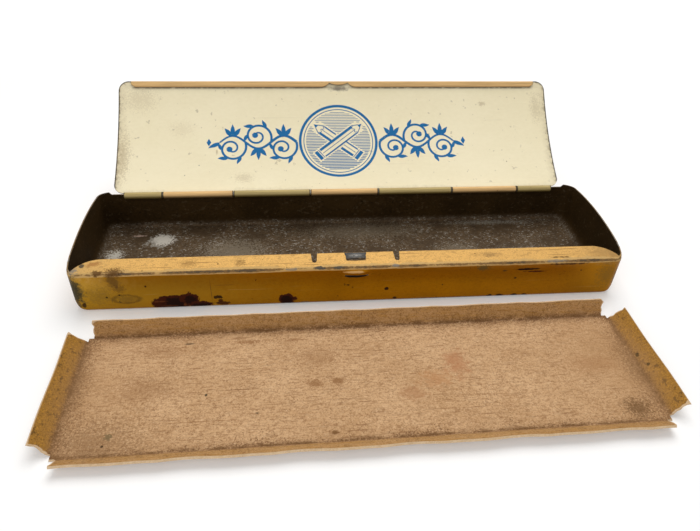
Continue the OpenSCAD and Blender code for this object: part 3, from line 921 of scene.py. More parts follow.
def build_card(context, materials):
    """The folded card liner: a flat floor, four leaning flaps and four torn corners.

    The flaps wave by sines of the place along them, and their torn ends by sines of the
    height. Both skins lie half a thickness from the middle surface, along its tilt.
    """
    m = SimpleNamespace(**in_millimetres(context.scene.pencil_tin_card))
    half_l, half_w = m.length / 2, m.width / 2
    tear_x, tear_y = half_l - m.torn_gap, half_w - m.torn_gap
    upright = math.pi / 2
    across = np.concatenate([np.linspace(0, half_l - 6, 50),
                             [half_l - 4.4, half_l - 3, tear_x - 0.02, tear_x]])
    deep = np.concatenate([np.linspace(0, half_w - 5, 14), [half_w - 3, tear_y - 0.02, tear_y]])
    end = crease_line(half_l, m.end_flap, upright - m.end_lean, across)
    back = crease_line(half_w, m.back_flap, upright - m.back_lean, deep)
    front = crease_line(half_w, m.front_flap - m.trim, upright - m.front_lean, deep)
    gx, hx, ax, fx = (line[None, :] for line in whole_section(end, end))
    gy, hy, ay, fy = (line[:, None] for line in whole_section(front, back))
    from_x, from_y, up_x, up_y = (np.abs(line) for line in (gx, gy, fx, fy))

    X, Y = np.broadcast_arrays(gx, gy)
    Z = hx + hy
    wave = (0.25 * np.sin(X * 0.11 + 0.6) + 0.15 * np.sin(X * 0.31 + Y * 0.05))
    side = 0.2 * np.sin(Y * 0.21 + 0.4)
    X = X - up_x * side * np.sign(gx) * 0.6
    Y = Y - up_y * np.abs(wave) * np.sign(gy)
    ragged = 0.55 * np.sin(Z * 2.1 + gx) + 0.25 * np.sin(Z * 5.3 + gy)
    X = X + bell(tear_x - np.abs(X), 1.2) * up_y * (ragged - 0.4) * np.sign(X)
    Y = Y + bell(tear_y - np.abs(Y), 1.0) * up_x * (ragged - 0.4) * np.sign(Y)
    tilt = points_of(-np.sin(ax), -np.sin(ay), np.cos(ax) * np.cos(ay))
    middle = points_of(X, Y, Z + m.thickness / 2)
    c, s = math.cos(m.turn), math.sin(m.turn)
    spin = np.array([[c, s, 0], [-s, c, 0], [0, 0, 1]])
    place = np.array([0, -m.middle, 0])
    top, bottom = ((middle + way * tilt * m.thickness / 2) @ spin + place for way in (1, -1))

    cell_x, cell_y = np.abs(gx[:, 1:] + gx[:, :-1]) / 2, np.abs(gy[1:] + gy[:-1]) / 2
    keep = ~((cell_x > half_l - 0.1) & (cell_y > tear_y)
             | (cell_y > half_w - 0.1) & (cell_x > tear_x))
    flap = np.maximum(up_x, up_y)
    crease = bell(from_x - half_l, 0.8) + bell(from_y - half_w, 0.8)
    grime = np.maximum(np.exp(-np.maximum(half_l - from_x, 0) / 5.0),
                       np.exp(-np.maximum(half_w - from_y, 0) / 2.0))
    end_tear = np.exp(-np.abs(tear_y - from_y) / 0.5) * smooth(up_x / 0.2)
    long_tear = np.exp(-np.abs(tear_x - from_x) / 0.5) * smooth(up_y / 0.2)
    torn = np.maximum(np.maximum(end_tear, long_tear), smooth((flap - 0.9) / 0.1) * 0.8)
    ochre = np.maximum(smooth(up_x / 0.25), smooth(up_y / 0.25) * 0.45)
    return make_sheet("card_tray", top, bottom, materials, "liner", keep, sharp=50.0,
                      marks={"flap": flap, "crease": np.clip(crease, 0, 1), "grime": grime,
                             "torn": torn, "ochre": ochre})


# ---- Finishes --------------------------------------------------------------------------


class Wiring:
    """Adds nodes to a tree: a value given for an input is either linked or set."""

    def __init__(self, tree):
        self.tree = tree

    def put(self, socket, value):
        """Links a socket's value in, or sets a number, vector or three-part colour."""
        if isinstance(value, bpy.types.NodeSocket):
            self.tree.links.new(value, socket)
        elif socket.type == "RGBA" and len(value) == 3:
            socket.default_value = (*value, 1.0)
        else:
            socket.default_value = value

    def node(self, kind, inputs=(), **settings):
        made = self.tree.nodes.new(kind)
        for name, value in settings.items():
            setattr(made, name, value)
        for name, value in dict(inputs).items():
            self.put(made.inputs[name], value)
        return made

    def math(self, operation, a, b):
        return self.node("ShaderNodeMath", {0: a, 1: b}, operation=operation).outputs[0]

    def times(self, a, *factors):
        for b in factors:
            a = self.math("MULTIPLY", a, b)
        return a

    def plus(self, a, b):
        return self.math("ADD", a, b)

    def minus(self, a, b):
        return self.math("SUBTRACT", a, b)

    def vector(self, operation, a, b=(0, 0, 0)):
        return self.node("ShaderNodeVectorMath", {0: a, 1: b}, operation=operation)

    def noise(self, vector, scale, detail=3, rough=0.55, warp=0.0):
        return self.node("ShaderNodeTexNoise", {
            "Vector": vector, "Scale": scale, "Detail": detail, "Roughness": rough,
            "Distortion": warp}).outputs[0]

    def ramp(self, value, low, high, to_low=0.0, to_high=1.0):
        return self.node("ShaderNodeMapRange", {
            "Value": value, "From Min": low, "From Max": high, "To Min": to_low,
            "To Max": to_high}, interpolation_type="SMOOTHSTEP").outputs[0]

    def stretch(self, vector, scale, turn=(0, 0, 0)):
        return self.node("ShaderNodeMapping", {"Vector": vector, "Rotation": turn,
                                               "Scale": scale}).outputs[0]

    def mix(self, mask, below, above):
        return self.node("ShaderNodeMix", {0: mask, 6: below, 7: above},
                         data_type="RGBA").outputs[2]

    def mark(self, name):
        return self.node("ShaderNodeAttribute", attribute_name=name).outputs["Fac"]

    def effect(self, name, **inputs):
        return self.node("ShaderNodeGroup", {label.capitalize(): value
                                             for label, value in inputs.items()},
                         node_tree=bpy.data.node_groups[name]).outputs[0]


def new_effect(name, output="Mask", **inputs):
    """An empty shader group that takes a place and the named inputs with their defaults."""
    tree = bpy.data.node_groups.new(name, "ShaderNodeTree")
    for label, default in {"Place": (0, 0, 0), **inputs}.items():
        kind = "NodeSocketVector" if isinstance(default, tuple) else "NodeSocketFloat"
        socket = tree.interface.new_socket(label, in_out="INPUT", socket_type=kind)
        socket.default_value = default
    tree.interface.new_socket(output, in_out="OUTPUT", socket_type="NodeSocketFloat")
    wire = Wiring(tree)
    given = wire.node("NodeGroupInput").outputs
    return wire, given, wire.node("NodeGroupOutput").inputs[0]


def make_spot():
    """One placed mark: an oval with a ragged edge, solid or hollow, 1 inside and 0 outside."""
    wire, given, out = new_effect("Spot", Noise=0.5, Centre=(0, 0, 0), Reach=(1, 1, 1),
                                  Ragged=0.5, Soft=0.2, Hollow=0.0)
    away = wire.vector("SUBTRACT", given["Place"], given["Centre"]).outputs[0]
    far = wire.vector("LENGTH", wire.vector("DIVIDE", away, given["Reach"]).outputs[0])
    bent = wire.times(wire.minus(given["Noise"], 0.5), given["Ragged"])
    shifted = wire.plus(far.outputs["Value"], bent)
    solid = wire.ramp(shifted, wire.minus(1.0, given["Soft"]), 1.0, 1.0, 0.0)
    core = wire.ramp(shifted, 0.45, 0.85, 1.0, 0.0)
    kept = wire.minus(1.0, wire.times(core, given["Hollow"]))
    wire.put(out, wire.times(solid, kept))


def make_scratches():
    """Fine parallel scratches in patches: stretched noise cut to thin lines."""
    wire, given, out = new_effect("Scratches", Scale=(60, 2600, 2600), Amount=0.1,
                                  Turn=(0, 0, 0))
    drawn = wire.stretch(given["Place"], given["Scale"], given["Turn"])
    lines = wire.noise(drawn, 1.0, 1.0, 0.4, 0.3)
    patches = wire.noise(given["Place"], 90.0, 2.0)
    level = wire.minus(0.80, wire.times(patches, given["Amount"]))
    wire.put(out, wire.ramp(wire.minus(lines, level), 0.0, 0.05))


def make_edge_wear():
    """Finish rubbed off along edges: the piece's edge mark broken up by noise."""
    wire, given, out = new_effect("Edge wear", Edge=0.0, Amount=0.5, Fineness=900.0)
    fine = wire.noise(given["Place"], given["Fineness"], 5.0, 0.65)
    broad = wire.noise(given["Place"], 70.0, 2.0)
    level = wire.plus(wire.times(fine, 0.6), wire.times(broad, 0.6))
    worn = wire.plus(wire.minus(given["Edge"], level), given["Amount"])
    wire.put(out, wire.ramp(worn, 0.42, 0.56))


def make_mottle():
    """Uneven tone of an old finish: a broad cloud and a fine grain added together."""
    wire, given, out = new_effect("Mottle", "Value", Cloud=60.0, Grain=2500.0, Share=0.4)
    cloud = wire.noise(given["Place"], given["Cloud"], 4.0, 0.6, 0.4)
    grain = wire.noise(given["Place"], given["Grain"], 2.0, 0.5)
    rest = wire.minus(1.0, given["Share"])
    value = wire.plus(wire.times(cloud, rest), wire.times(grain, given["Share"]))
    wire.put(out, wire.ramp(value, 0.32, 0.68))


def make_specks():
    """Scattered specks: noise above a level, fewer where the level is higher."""
    wire, given, out = new_effect("Specks", Scale=(900, 900, 900), Level=0.7, Soft=0.05)
    dots = wire.noise(wire.stretch(given["Place"], given["Scale"]), 1.0, 3.0, 0.6)
    over = wire.plus(given["Level"], given["Soft"])
    wire.put(out, wire.ramp(dots, given["Level"], over))


def shade(tint, *by):
    """A tint times one number, or times one number for each of its three parts."""
    return tuple(v * k for v, k in zip(tint, by * 3))


SPECKLED = 2.7  # marks more ragged than this break up into fine specks


class Finish(Wiring):
    """A material in the making: base colour and roughness are laid on in layers."""

    def __init__(self, name, base, rough, metallic=0.0, specular=0.3):
        self.material = bpy.data.materials.new(name)
        self.material.use_nodes = True
        super().__init__(self.material.node_tree)
        self.tree.nodes.clear()
        self.shader = self.node("ShaderNodeBsdfPrincipled", {"Specular IOR Level": specular})
        self.node("ShaderNodeOutputMaterial", {"Surface": self.shader.outputs[0]})
        self.place = self.node("ShaderNodeTexCoord").outputs["Object"]
        self.base, self.rough, self.metallic, self.height = base, rough, metallic, None

    def effect(self, name, place=None, **inputs):
        """One of the shared effects, over this finish's own place unless told otherwise."""
        return super().effect(name, place=place or self.place, **inputs)

    def drawn(self, scale, fineness, detail, rough):
        """Noise drawn out along the axes with the smaller scale."""
        return self.noise(self.stretch(self.place, scale), fineness, detail, rough)

    def layer(self, mask, tint, strength=1.0, rough=None, metallic=None, height=0.0):
        """Lays a tint over what is there, and moves roughness, metal and height with it."""
        if strength != 1.0:
            mask = self.times(mask, strength)
        self.base = self.mix(mask, self.base, tint)
        for name, value in (("rough", rough), ("metallic", metallic)):
            if value is not None:
                old = getattr(self, name)
                step = self.times(mask, self.minus(value, old))
                setattr(self, name, self.plus(old, step))
        if height:
            rise = self.times(mask, height)
            self.height = rise if self.height is None else self.plus(self.height, rise)

    def specks(self, scale, level, soft, tint, strength, within=(), **look):
        """Lays scattered specks over everything, or only within the given masks."""
        mask = self.effect("Specks", scale=scale, level=level, soft=soft)
        self.layer(self.times(mask, *within), tint, strength, **look)

    def wear(self, edge, amount, fineness, tint, strength, **look):
        """Lays wear along the edges."""
        self.layer(self.effect("Edge wear", edge=edge, amount=amount, fineness=fineness), tint,
                   strength, **look)

    def spots(self, marks, rough=0.55, metallic=None):
        """Lays on placed marks: centre, reach, tint, ragged, soft, strength, 1 if hollow."""
        coarse = self.noise(self.place, 620, 5, 0.62)
        fine = self.noise(self.place, 1700, 4, 0.72)
        for centre, reach, tint, ragged, soft, strength, *hollow in marks:
            mask = self.effect("Spot", noise=fine if ragged > SPECKLED else coarse,
                               ragged=ragged, centre=shade(centre, MM), hollow=sum(hollow),
                               reach=shade(reach, MM), soft=soft)
            self.layer(mask, tint, strength, rough, metallic, height=-0.2)

    def done(self, depth=0.02):
        """Links the layers to the shader; depth is the bump's height in millimetres."""
        for label, value in (("Base Color", self.base), ("Roughness", self.rough),
                             ("Metallic", self.metallic)):
            self.put(self.shader.inputs[label], value)
        if self.height is not None:
            bump = self.node("ShaderNodeBump", {"Height": self.height, "Distance": depth * MM})
            self.put(self.shader.inputs["Normal"], bump.outputs[0])
        return self.material


RUST, DEEP_RUST = (0.052, 0.010, 0.003), (0.014, 0.0035, 0.002)
BROWN, GRIME, ASH = (0.10, 0.045, 0.012), (0.030, 0.026, 0.014), (0.20, 0.18, 0.15)
# The near-black last tint on the next line serves real black specks and painted shade in the slit
# under the nail ledge
STRAW, OLIVE, SOOT_AND_SHADE = (0.40, 0.22, 0.016), (0.095, 0.068, 0.022), (0.010, 0.007, 0.004)
# The last tint on the next line is a painted highlight
OLD_STAIN, HIGHLIGHT_TAN = (0.27, 0.130, 0.050), (0.62, 0.38, 0.15)

# Marks are given as centre and reach in millimetres, tint, ragged, soft, strength, 1 if hollow

# Slow changes of tone along the walls and along the lip
WALL_SHADES = (
    ((-88, -26, 8), (92, 6, 18), STRAW, 0.5, 0.95, 0.8),
    ((92, -26, 8), (22, 6, 18), (0.25, 0.11, 0.002), 0.8, 0.95, 0.5),
    ((-87, -26, 12), (20, 3, 5), (0.46, 0.26, 0.040), 1.5, 0.9, 0.6),
    ((30, -26, 14), (60, 2, 3), (0.22, 0.10, 0.004), 1.5, 0.9, 0.4),
)
LIP_SHADES = (
    ((98, -22, 16.5), (24, 9, 5), (0.20, 0.115, 0.045), 0.8, 0.95, 0.85),
    ((62, -22, 16.5), (56, 9, 5), (0.56, 0.32, 0.095), 0.6, 0.95, 0.35),
    ((-92, -22, 16.5), (14, 9, 5), (0.52, 0.33, 0.12), 1.5, 0.9, 0.6),
)

# Stains and rust on the tray, with painted shade along the front wall's foot, a painted highlight
# on the nail ledge and painted shadow in its slit and under the catch
TRAY_MARKS = (
    ((-86, -25.8, 6.5), (7, 1.6, 6), (0.17, 0.10, 0.020), 3, 0.9, 0.5),
    ((-80.5, -25.8, 13), (3.2, 1.6, 4.4), BROWN, 2.2, 0.7, 0.75),
    ((-79, -25.6, 9.4), (2.4, 1.2, 2.6), BROWN, 2.9, 0.7, 0.5),
    ((-77.5, -25.5, 5), (5.8, 1, 2.3), (0.13, 0.062, 0.008), 0.6, 0.3, 0.8, 1),
    ((-77.5, -25.5, 5), (5.4, 1, 2), OLIVE, 2.9, 0.6, 0.4),
    ((-70.4, -25.5, 10.2), (0.5, 0.6, 0.6), DEEP_RUST, 1.2, 0.4, 0.9),
    ((-83.6, -25.5, 6), (0.5, 0.6, 0.5), DEEP_RUST, 1.6, 0.4, 0.85),
    ((-79.4, -25.5, 6.9), (0.4, 0.6, 0.4), DEEP_RUST, 1.6, 0.4, 0.85),
    ((-62.8, -25.4, 2.7), (7, 1.4, 3.5), RUST, 0.8, 0.12, 1),
    ((-61.4, -25.4, 2.9), (5.2, 1.2, 2.6), DEEP_RUST, 1.6, 0.35, 0.95),
    ((-56.8, -25.4, 3.9), (3.5, 1.2, 3.3), RUST, 1.2, 0.12, 1),
    ((-56.4, -25.4, 3.6), (2.6, 1.1, 2.6), DEEP_RUST, 1.4, 0.35, 0.95),
    ((-53.4, -25.3, 1.6), (4.6, 1.1, 1.7), RUST, 1.4, 0.15, 1),
    ((-53, -25.3, 1.2), (4, 1.1, 1.2), DEEP_RUST, 1.6, 0.3, 0.9),
    ((-58.6, -25.6, 1.6), (0.7, 1.1, 1.6), (0.16, 0.05, 0.012), 2.4, 0.6, 0.7),
    ((-66.4, -25.6, 3.4), (2.6, 1.1, 0.5), (0.13, 0.036, 0.011), 2.4, 0.6, 0.8),
    ((-64, -25.6, 1.4), (3.6, 1.1, 0.4), (0.11, 0.032, 0.010), 2.4, 0.6, 0.7),
    ((-47.2, -25.5, 4.6), (1.5, 0.8, 1), DEEP_RUST, 2.4, 0.3, 0.9),
    ((-46.6, -25.5, 3.2), (1, 0.8, 0.7), RUST, 2.4, 0.3, 0.9),
    ((-45.4, -25.4, 1.8), (2.6, 0.9, 0.9), RUST, 2.4, 0.3, 0.9),
    ((-49.3, -25.5, 7.2), (0.13, 0.6, 6.2), GRIME, 0.3, 0.5, 0.6),
    ((-44.6, -25.5, 9.8), (4.2, 0.6, 0.14), BROWN, 0.9, 0.4, 0.6),
    ((-23.9, -25.4, 2.6), (3.4, 1.2, 2.5), RUST, 1.1, 0.12, 1),
    ((-23.9, -25.4, 2.3), (2.6, 1, 1.9), DEEP_RUST, 1.8, 0.35, 0.95),
    ((-17.5, -25.4, 0.9), (2.4, 0.8, 0.5), ASH, 1.6, 0.4, 0.6),
    ((10.7, -25.5, 5.9), (0.95, 0.6, 0.85), DEEP_RUST, 0.9, 0.3, 0.95),
    ((13.9, -25.5, 1.5), (0.8, 0.6, 0.7), DEEP_RUST, 1, 0.3, 0.9),
    ((-2.8, -25.5, 8.1), (0.7, 0.5, 0.4), DEEP_RUST, 1.4, 0.4, 0.9),
    ((-1.2, -25.5, 7), (0.4, 0.4, 0.3), DEEP_RUST, 1, 0.4, 0.7),
    ((30.5, -25.5, 6.8), (0.4, 0.4, 0.4), DEEP_RUST, 1, 0.4, 0.8),
    ((48, -25.4, 1), (1, 0.6, 0.5), DEEP_RUST, 1.2, 0.4, 0.9),
    ((44, -25.6, 13.8), (3, 0.8, 1.4), OLIVE, 2.8, 0.6, 0.8),
    ((52, -25.6, 12.2), (1.6, 0.6, 0.5), GRIME, 2, 0.4, 0.8),
    ((60, -25.6, 12.6), (5.6, 0.8, 0.55), DEEP_RUST, 1.5, 0.4, 1),
    ((63.5, -25.6, 11.5), (4.6, 0.8, 0.42), RUST, 1.4, 0.4, 1),
    ((56.5, -25.5, 8.8), (0.6, 0.5, 0.5), DEEP_RUST, 1.4, 0.4, 0.85),
    ((80, -25.5, 11.4), (0.5, 0.5, 0.4), DEEP_RUST, 1.4, 0.4, 0.8),
    ((48.6, -25.4, 1.1), (0.7, 0.9, 0.7), DEEP_RUST, 1, 0.4, 0.95),
    ((52, -25.4, 1), (1.9, 0.9, 0.8), DEEP_RUST, 1.4, 0.4, 0.95),
    ((57.6, -25.4, 1), (1.5, 0.9, 0.7), DEEP_RUST, 1.4, 0.4, 0.95),
    ((61.2, -25.4, 1), (1, 0.9, 0.6), DEEP_RUST, 1.2, 0.4, 0.95),
    ((75, -25.4, 14.4), (9, 0.9, 0.45), (0.07, 0.028, 0.010), 2.2, 0.5, 0.9),
    ((90.5, -25.4, 9), (6, 2.6, 8), (0.16, 0.085, 0.012), 3.1, 0.9, 0.55),
    ((-93.6, -24.6, 8.6), (3.9, 3, 7.6), OLIVE, 1.6, 0.5, 0.9),
    ((-94, -24.6, 8), (3.6, 3, 7.4), GRIME, 2.8, 0.6, 0.8),
    ((-94.4, -23.6, 13.4), (1, 2, 1.6), ASH, 2.4, 0.5, 0.7),
    ((94.6, -24, 8.5), (2.2, 2.2, 7.5), OLIVE, 2.2, 0.6, 0.8),
    ((-91.6, -25.2, 2.8), (1, 0.8, 1.4), DEEP_RUST, 1.8, 0.4, 0.85),
    # Painted shade along the whole foot of the front wall, in a rust tint
    ((0, -25, 0.25), (96, 1, 0.48), DEEP_RUST, 1.6, 0.5, 0.9),
    ((32, -25.3, 0.5), (18, 0.8, 0.45), DEEP_RUST, 2.9, 0.5, 0.9),
    ((-93, -23.6, 16.4), (2.4, 2.6, 1.4), ASH, 2.8, 0.6, 0.85),
    ((-90.4, -21.2, 16.4), (1, 1, 1.2), (0.06, 0.05, 0.035), 2, 0.4, 0.9),
    ((-85.2, -24.6, 15.6), (2, 1.3, 1.4), BROWN, 2.4, 0.5, 0.9),
    ((-80, -24.4, 15.8), (4, 2.6, 1.5), BROWN, 2.9, 0.7, 0.9),
    ((-87, -20.8, 16.4), (3, 1.6, 1.2), (0.34, 0.15, 0.04), 2.2, 0.7, 0.75),
    ((-56, -21.6, 16.4), (4, 2.4, 1.2), (0.26, 0.14, 0.04), 2.9, 0.9, 0.6),
    ((-39, -21.6, 16.4), (2.6, 2.2, 1.2), (0.22, 0.12, 0.035), 2.8, 0.8, 0.7),
    ((47, -21.4, 16.4), (5, 1.6, 1.2), (0.24, 0.14, 0.05), 2.9, 0.8, 0.7),
    ((73, -23.4, 16.4), (6, 0.5, 1.2), (0.11, 0.06, 0.02), 2.2, 0.5, 0.85),
    ((-12.4, -25, 15.6), (2.4, 0.8, 0.9), (0.08, 0.07, 0.055), 2.4, 0.3, 0.95),
    ((-6.2, -25, 15.6), (1.8, 0.7, 0.8), (0.09, 0.08, 0.06), 2.4, 0.3, 0.9),
    ((13.2, -25, 15.6), (1.4, 0.8, 0.8), ASH, 1.8, 0.3, 0.85),
    ((-22, -25.2, 15.3), (2.4, 0.6, 0.5), ASH, 2.4, 0.3, 0.7),
    ((70, -25, 15.6), (5, 0.7, 0.7), ASH, 2.4, 0.4, 0.7),
    # Painted highlight along the nail ledge's top, over rubbed lacquer
    ((-1.4, -26.1, 13.8), (5.4, 1.3, 0.6), HIGHLIGHT_TAN, 1.2, 0.5, 0.8),
    # Painted shade in the slit under the nail ledge
    ((-0.3, -25.8, 11.9), (4.3, 1.5, 0.75), SOOT_AND_SHADE, 0.3, 0.25, 1),
    # Painted shadow on the lip under the catch's raised edge
    ((0, -22.15, 16.6), (3.9, 0.36, 1), (0.07, 0.038, 0.016), 0.6, 0.5, 0.85),
)

# Painted shade on the slit's rims under the nail ledge
SLIT_SHADE_MARKS = (((-0.3, -25.8, 12.3), (5.2, 1.6, 0.9), SOOT_AND_SHADE, 0.3, 0.25, 1),)

# Dust and corrosion on the tray's floor
LINING_MARKS = (
    ((-73.2, 14.4, 0.4), (5.2, 4.4, 1.5), (0.27, 0.24, 0.195), 2.6, 0.22, 0.85),
    ((-71.8, 15.2, 0.4), (4.4, 3.8, 1.5), (0.58, 0.53, 0.45), 3.4, 0.22, 0.85),
    ((-88.5, 5.4, 1), (3.4, 4.2, 2), (0.54, 0.50, 0.42), 3.6, 0.5, 0.85),
    ((-82.3, 18.2, 0.6), (3, 0.7, 1.2), (0.46, 0.32, 0.25), 2.6, 0.5, 0.85),
    ((-44, 6, 0.4), (13, 9, 1.5), (0.25, 0.205, 0.145), 4.6, 0.4, 0.5),
    ((44, 2, 0.4), (10, 6, 1.5), (0.25, 0.205, 0.145), 4.6, 0.4, 0.45),
    ((70, 0, 0.4), (12, 5, 1.5), (0.25, 0.215, 0.16), 4.6, 0.6, 0.55),
    ((6, 18, 0.6), (26, 6, 1.5), (0.22, 0.180, 0.125), 4.4, 0.4, 0.35),
    ((62, 22.4, 1.2), (26, 2.2, 2), (0.26, 0.23, 0.18), 3, 0.8, 0.8),
)

# Marks inside the lid: place along X and along the closed lid's Y, reach, tint and the rest
LID_MARKS = (
    ((-51, 4.4), (0.6, 1.8), (0.48, 0.37, 0.21), 1.4, 0.8, 0.7),
    ((-65, -6), (7, 4.5), (0.62, 0.51, 0.32), 3.2, 0.9, 0.3),
    ((-82, -19), (9, 7), (0.50, 0.40, 0.24), 3.4, 0.9, 0.35),
    ((-88, 6), (3.6, 14), (0.38, 0.28, 0.15), 3.4, 0.9, 0.5),
    ((-58, 10.5), (0.35, 0.35), GRIME, 1.4, 0.6, 0.5),
    ((-63.5, 15), (0.3, 0.35), GRIME, 1.4, 0.6, 0.5),
    ((-40, 16.5), (5, 3), (0.55, 0.45, 0.28), 3.2, 0.9, 0.5),
    ((62, -16.5), (2, 1.4), (0.46, 0.36, 0.21), 3, 0.8, 0.6),
    ((70, 10.5), (0.35, 0.35), (0.2, 0.12, 0.05), 1.4, 0.6, 0.6),
    ((86, -15), (3.6, 9), (0.50, 0.41, 0.25), 3.4, 0.9, 0.45),
    # Painted shadow on the enamel under the hem's tongue
    ((0, -23.4), (6.4, 1.6), (0.15, 0.125, 0.095), 1.6, 0.9, 0.85),
    ((12.6, -24.6), (0.5, 1.2), (0.24, 0.20, 0.15), 1, 0.6, 0.7),
)

# Blotches, stains, ink dots and scratches on the liner
CARD_MARKS = (
    ((90, -61, 0.7), (46, 32, 6), (0.42, 0.235, 0.105), 0.5, 0.95, 0.55),
    ((-90, -61, 0.7), (34, 32, 6), (0.42, 0.235, 0.105), 0.5, 0.95, 0.35),
    ((-55, -43.6, 0.7), (1.9, 0.36, 2), GRIME, 1.8, 0.4, 0.85),
    ((-48, -65, 0.7), (0.5, 0.5, 2), GRIME, 1.6, 0.4, 0.9),
    ((-33, -72.5, 0.7), (0.8, 0.4, 2), GRIME, 1.8, 0.4, 0.75),
    ((-74, -81, 0.7), (0.5, 0.5, 2), SOOT_AND_SHADE, 1.2, 0.4, 0.95),
    ((-73, -78, 0.7), (1.4, 1.6, 2), (0.16, 0.14, 0.07), 3, 0.6, 0.75),
    ((-16, -62.5, 0.7), (3.4, 2.4, 2), OLD_STAIN, 2.8, 0.8, 0.85),
    ((-9, -62, 0.7), (2.8, 2, 2), OLD_STAIN, 2.8, 0.8, 0.85),
    ((-36, -43.8, 0.7), (6.2, 1.4, 2), OLD_STAIN, 3, 0.8, 0.8),
    ((-22, -43.6, 0.7), (3, 1, 2), OLD_STAIN, 3, 0.8, 0.75),
    ((-11, -80.6, 0.7), (1.2, 1, 2), (0.16, 0.07, 0.02), 2.2, 0.6, 0.85),
    ((-66, -62, 0.7), (12, 7, 2), OLD_STAIN, 3, 0.95, 0.5),
    ((-14, -52, 0.7), (10, 7, 2), OLD_STAIN, 3, 0.95, 0.4),
    ((-64, -46, 0.7), (14, 4, 2), OLD_STAIN, 3, 0.95, 0.4),
    ((29, -57, 0.7), (5.4, 8, 2), (0.42, 0.19, 0.085), 2.4, 0.95, 0.75),
    ((21, -63, 0.7), (7, 5, 2), (0.44, 0.21, 0.085), 2.4, 0.95, 0.65),
    ((13, -68, 0.7), (5.4, 4.4, 2), (0.40, 0.20, 0.09), 2.6, 0.95, 0.65),
    ((72, -60, 0.7), (12, 5, 2), (0.36, 0.18, 0.075), 3, 0.95, 0.55),
    ((-38, -55.5, 0.7), (7.5, 0.20, 2), OLD_STAIN, 2.2, 0.7, 0.85),
    ((-38, -63.5, 0.7), (8.5, 0.22, 2), (0.20, 0.095, 0.035), 2.2, 0.7, 0.85),
    ((-48, -74.5, 0.7), (13, 0.18, 2), OLD_STAIN, 2.2, 0.7, 0.85),
    ((40, -70, 0.7), (16, 0.18, 2), OLD_STAIN, 2.6, 0.8, 0.6),
    ((-78, -80, 0.7), (22, 11, 2), (0.18, 0.09, 0.035), 4.2, 0.95, 0.5),
    ((-86, -60, 0.7), (4.6, 22, 2), (0.16, 0.08, 0.03), 4.2, 0.95, 0.45),
    ((86, -62, 0.7), (5.4, 22, 2), (0.16, 0.08, 0.03), 4.2, 0.95, 0.5),
    ((79, -78, 0.7), (6, 5, 2), (0.16, 0.08, 0.03), 3.2, 0.8, 0.85),
    ((88, -58, 3), (0.6, 1, 4), GRIME, 2.2, 0.5, 0.7),
    ((89, -63, 3), (0.5, 0.6, 4), GRIME, 2.2, 0.5, 0.7),
)


def lacquered(c, name, metallic):
    """Gold lacquer over tinplate, in an uneven tone."""
    # The base colour is the painted shaded copy of the gold lacquer
    f = Finish(name, c.wall_gold, 0.40, metallic, 0.05)
    f.layer(f.effect("Mottle", cloud=45, grain=1900, share=0.35), shade(c.wall_gold, 1.25),
            rough=0.34)
    grain = f.drawn((0.7, 1, 1), 1500, 4, 0.75)
    f.layer(f.ramp(grain, 0.50, 0.68), shade(c.wall_gold, 0.66), 0.5)
    return f


def scuffed(f):
    """Fine pale scratches and dark rust specks over a lacquered face."""
    f.layer(f.effect("Scratches", amount=0.16), (0.42, 0.26, 0.07), 0.35)
    f.specks((420, 420, 420), 0.70, 0.04, DEEP_RUST, 0.75, rough=0.6, metallic=0.3)


def gold_lid(c):
    """Gold lacquer outside the lid: rubbed through along its edges, dark at the raw rim."""
    f = lacquered(c, "Gold lacquer, lid", 0.45)
    edge = f.mark("edge")
    f.wear(edge, 0.30, 420, (0.44, 0.28, 0.125), 0.8, rough=0.55, metallic=0.1, height=-0.3)
    f.wear(edge, 0.12, 800, (0.14, 0.085, 0.040), 0.85, rough=0.6, metallic=0.1)
    scuffed(f)
    return f.done(0.03)


def gold_tray(c):
    """Gold lacquer of the tray: a painted lit copy on the lip, rubbed at the bend, rusted in
    places, with painted light and shade at the ledge, catch and wall's foot.
    """
    f = lacquered(c, "Gold lacquer, tray", 0.92)
    f.spots(WALL_SHADES, rough=0.42)
    lip = f.mark("lip")
    # Painted lit copy of the lacquer over the lip
    f.layer(lip, c.lip_gold, 0.97, rough=0.55, metallic=0.12)
    grain = f.effect("Mottle", cloud=160, grain=2300, share=0.6)
    f.layer(f.times(grain, lip), shade(c.lip_gold, 0.74), 0.75)
    f.spots(LIP_SHADES)
    f.specks((450, 900, 900), 0.55, 0.10, (0.34, 0.19, 0.06), 0.45, within=[lip])
    dots = f.ramp(f.noise(f.place, 2500, 3, 0.75), 0.53, 0.63)
    f.layer(f.times(dots, lip), (0.30, 0.165, 0.055), 0.55)
    scores = f.effect("Scratches", scale=(45, 2200, 2200), amount=0.30)
    f.layer(f.times(scores, lip), (0.26, 0.135, 0.04), 0.6)
    edge = f.mark("edge")
    f.wear(edge, 0.50, 420, (0.52, 0.33, 0.125), 0.9, rough=0.55, metallic=0.05, height=-0.3)
    f.wear(edge, 0.20, 900, (0.17, 0.092, 0.036), 0.85, rough=0.6, metallic=0.05)
    f.wear(edge, 0.07, 820, (0.085, 0.062, 0.040), 0.9, rough=0.5, metallic=0.1, height=-0.7)
    scuffed(f)
    f.layer(f.ramp(f.mark("raw"), 0.70, 0.92), (0.085, 0.070, 0.045), 0.9, rough=0.55,
            metallic=0.3)
    f.spots(TRAY_MARKS, metallic=0.15)
    return f.done(0.03)


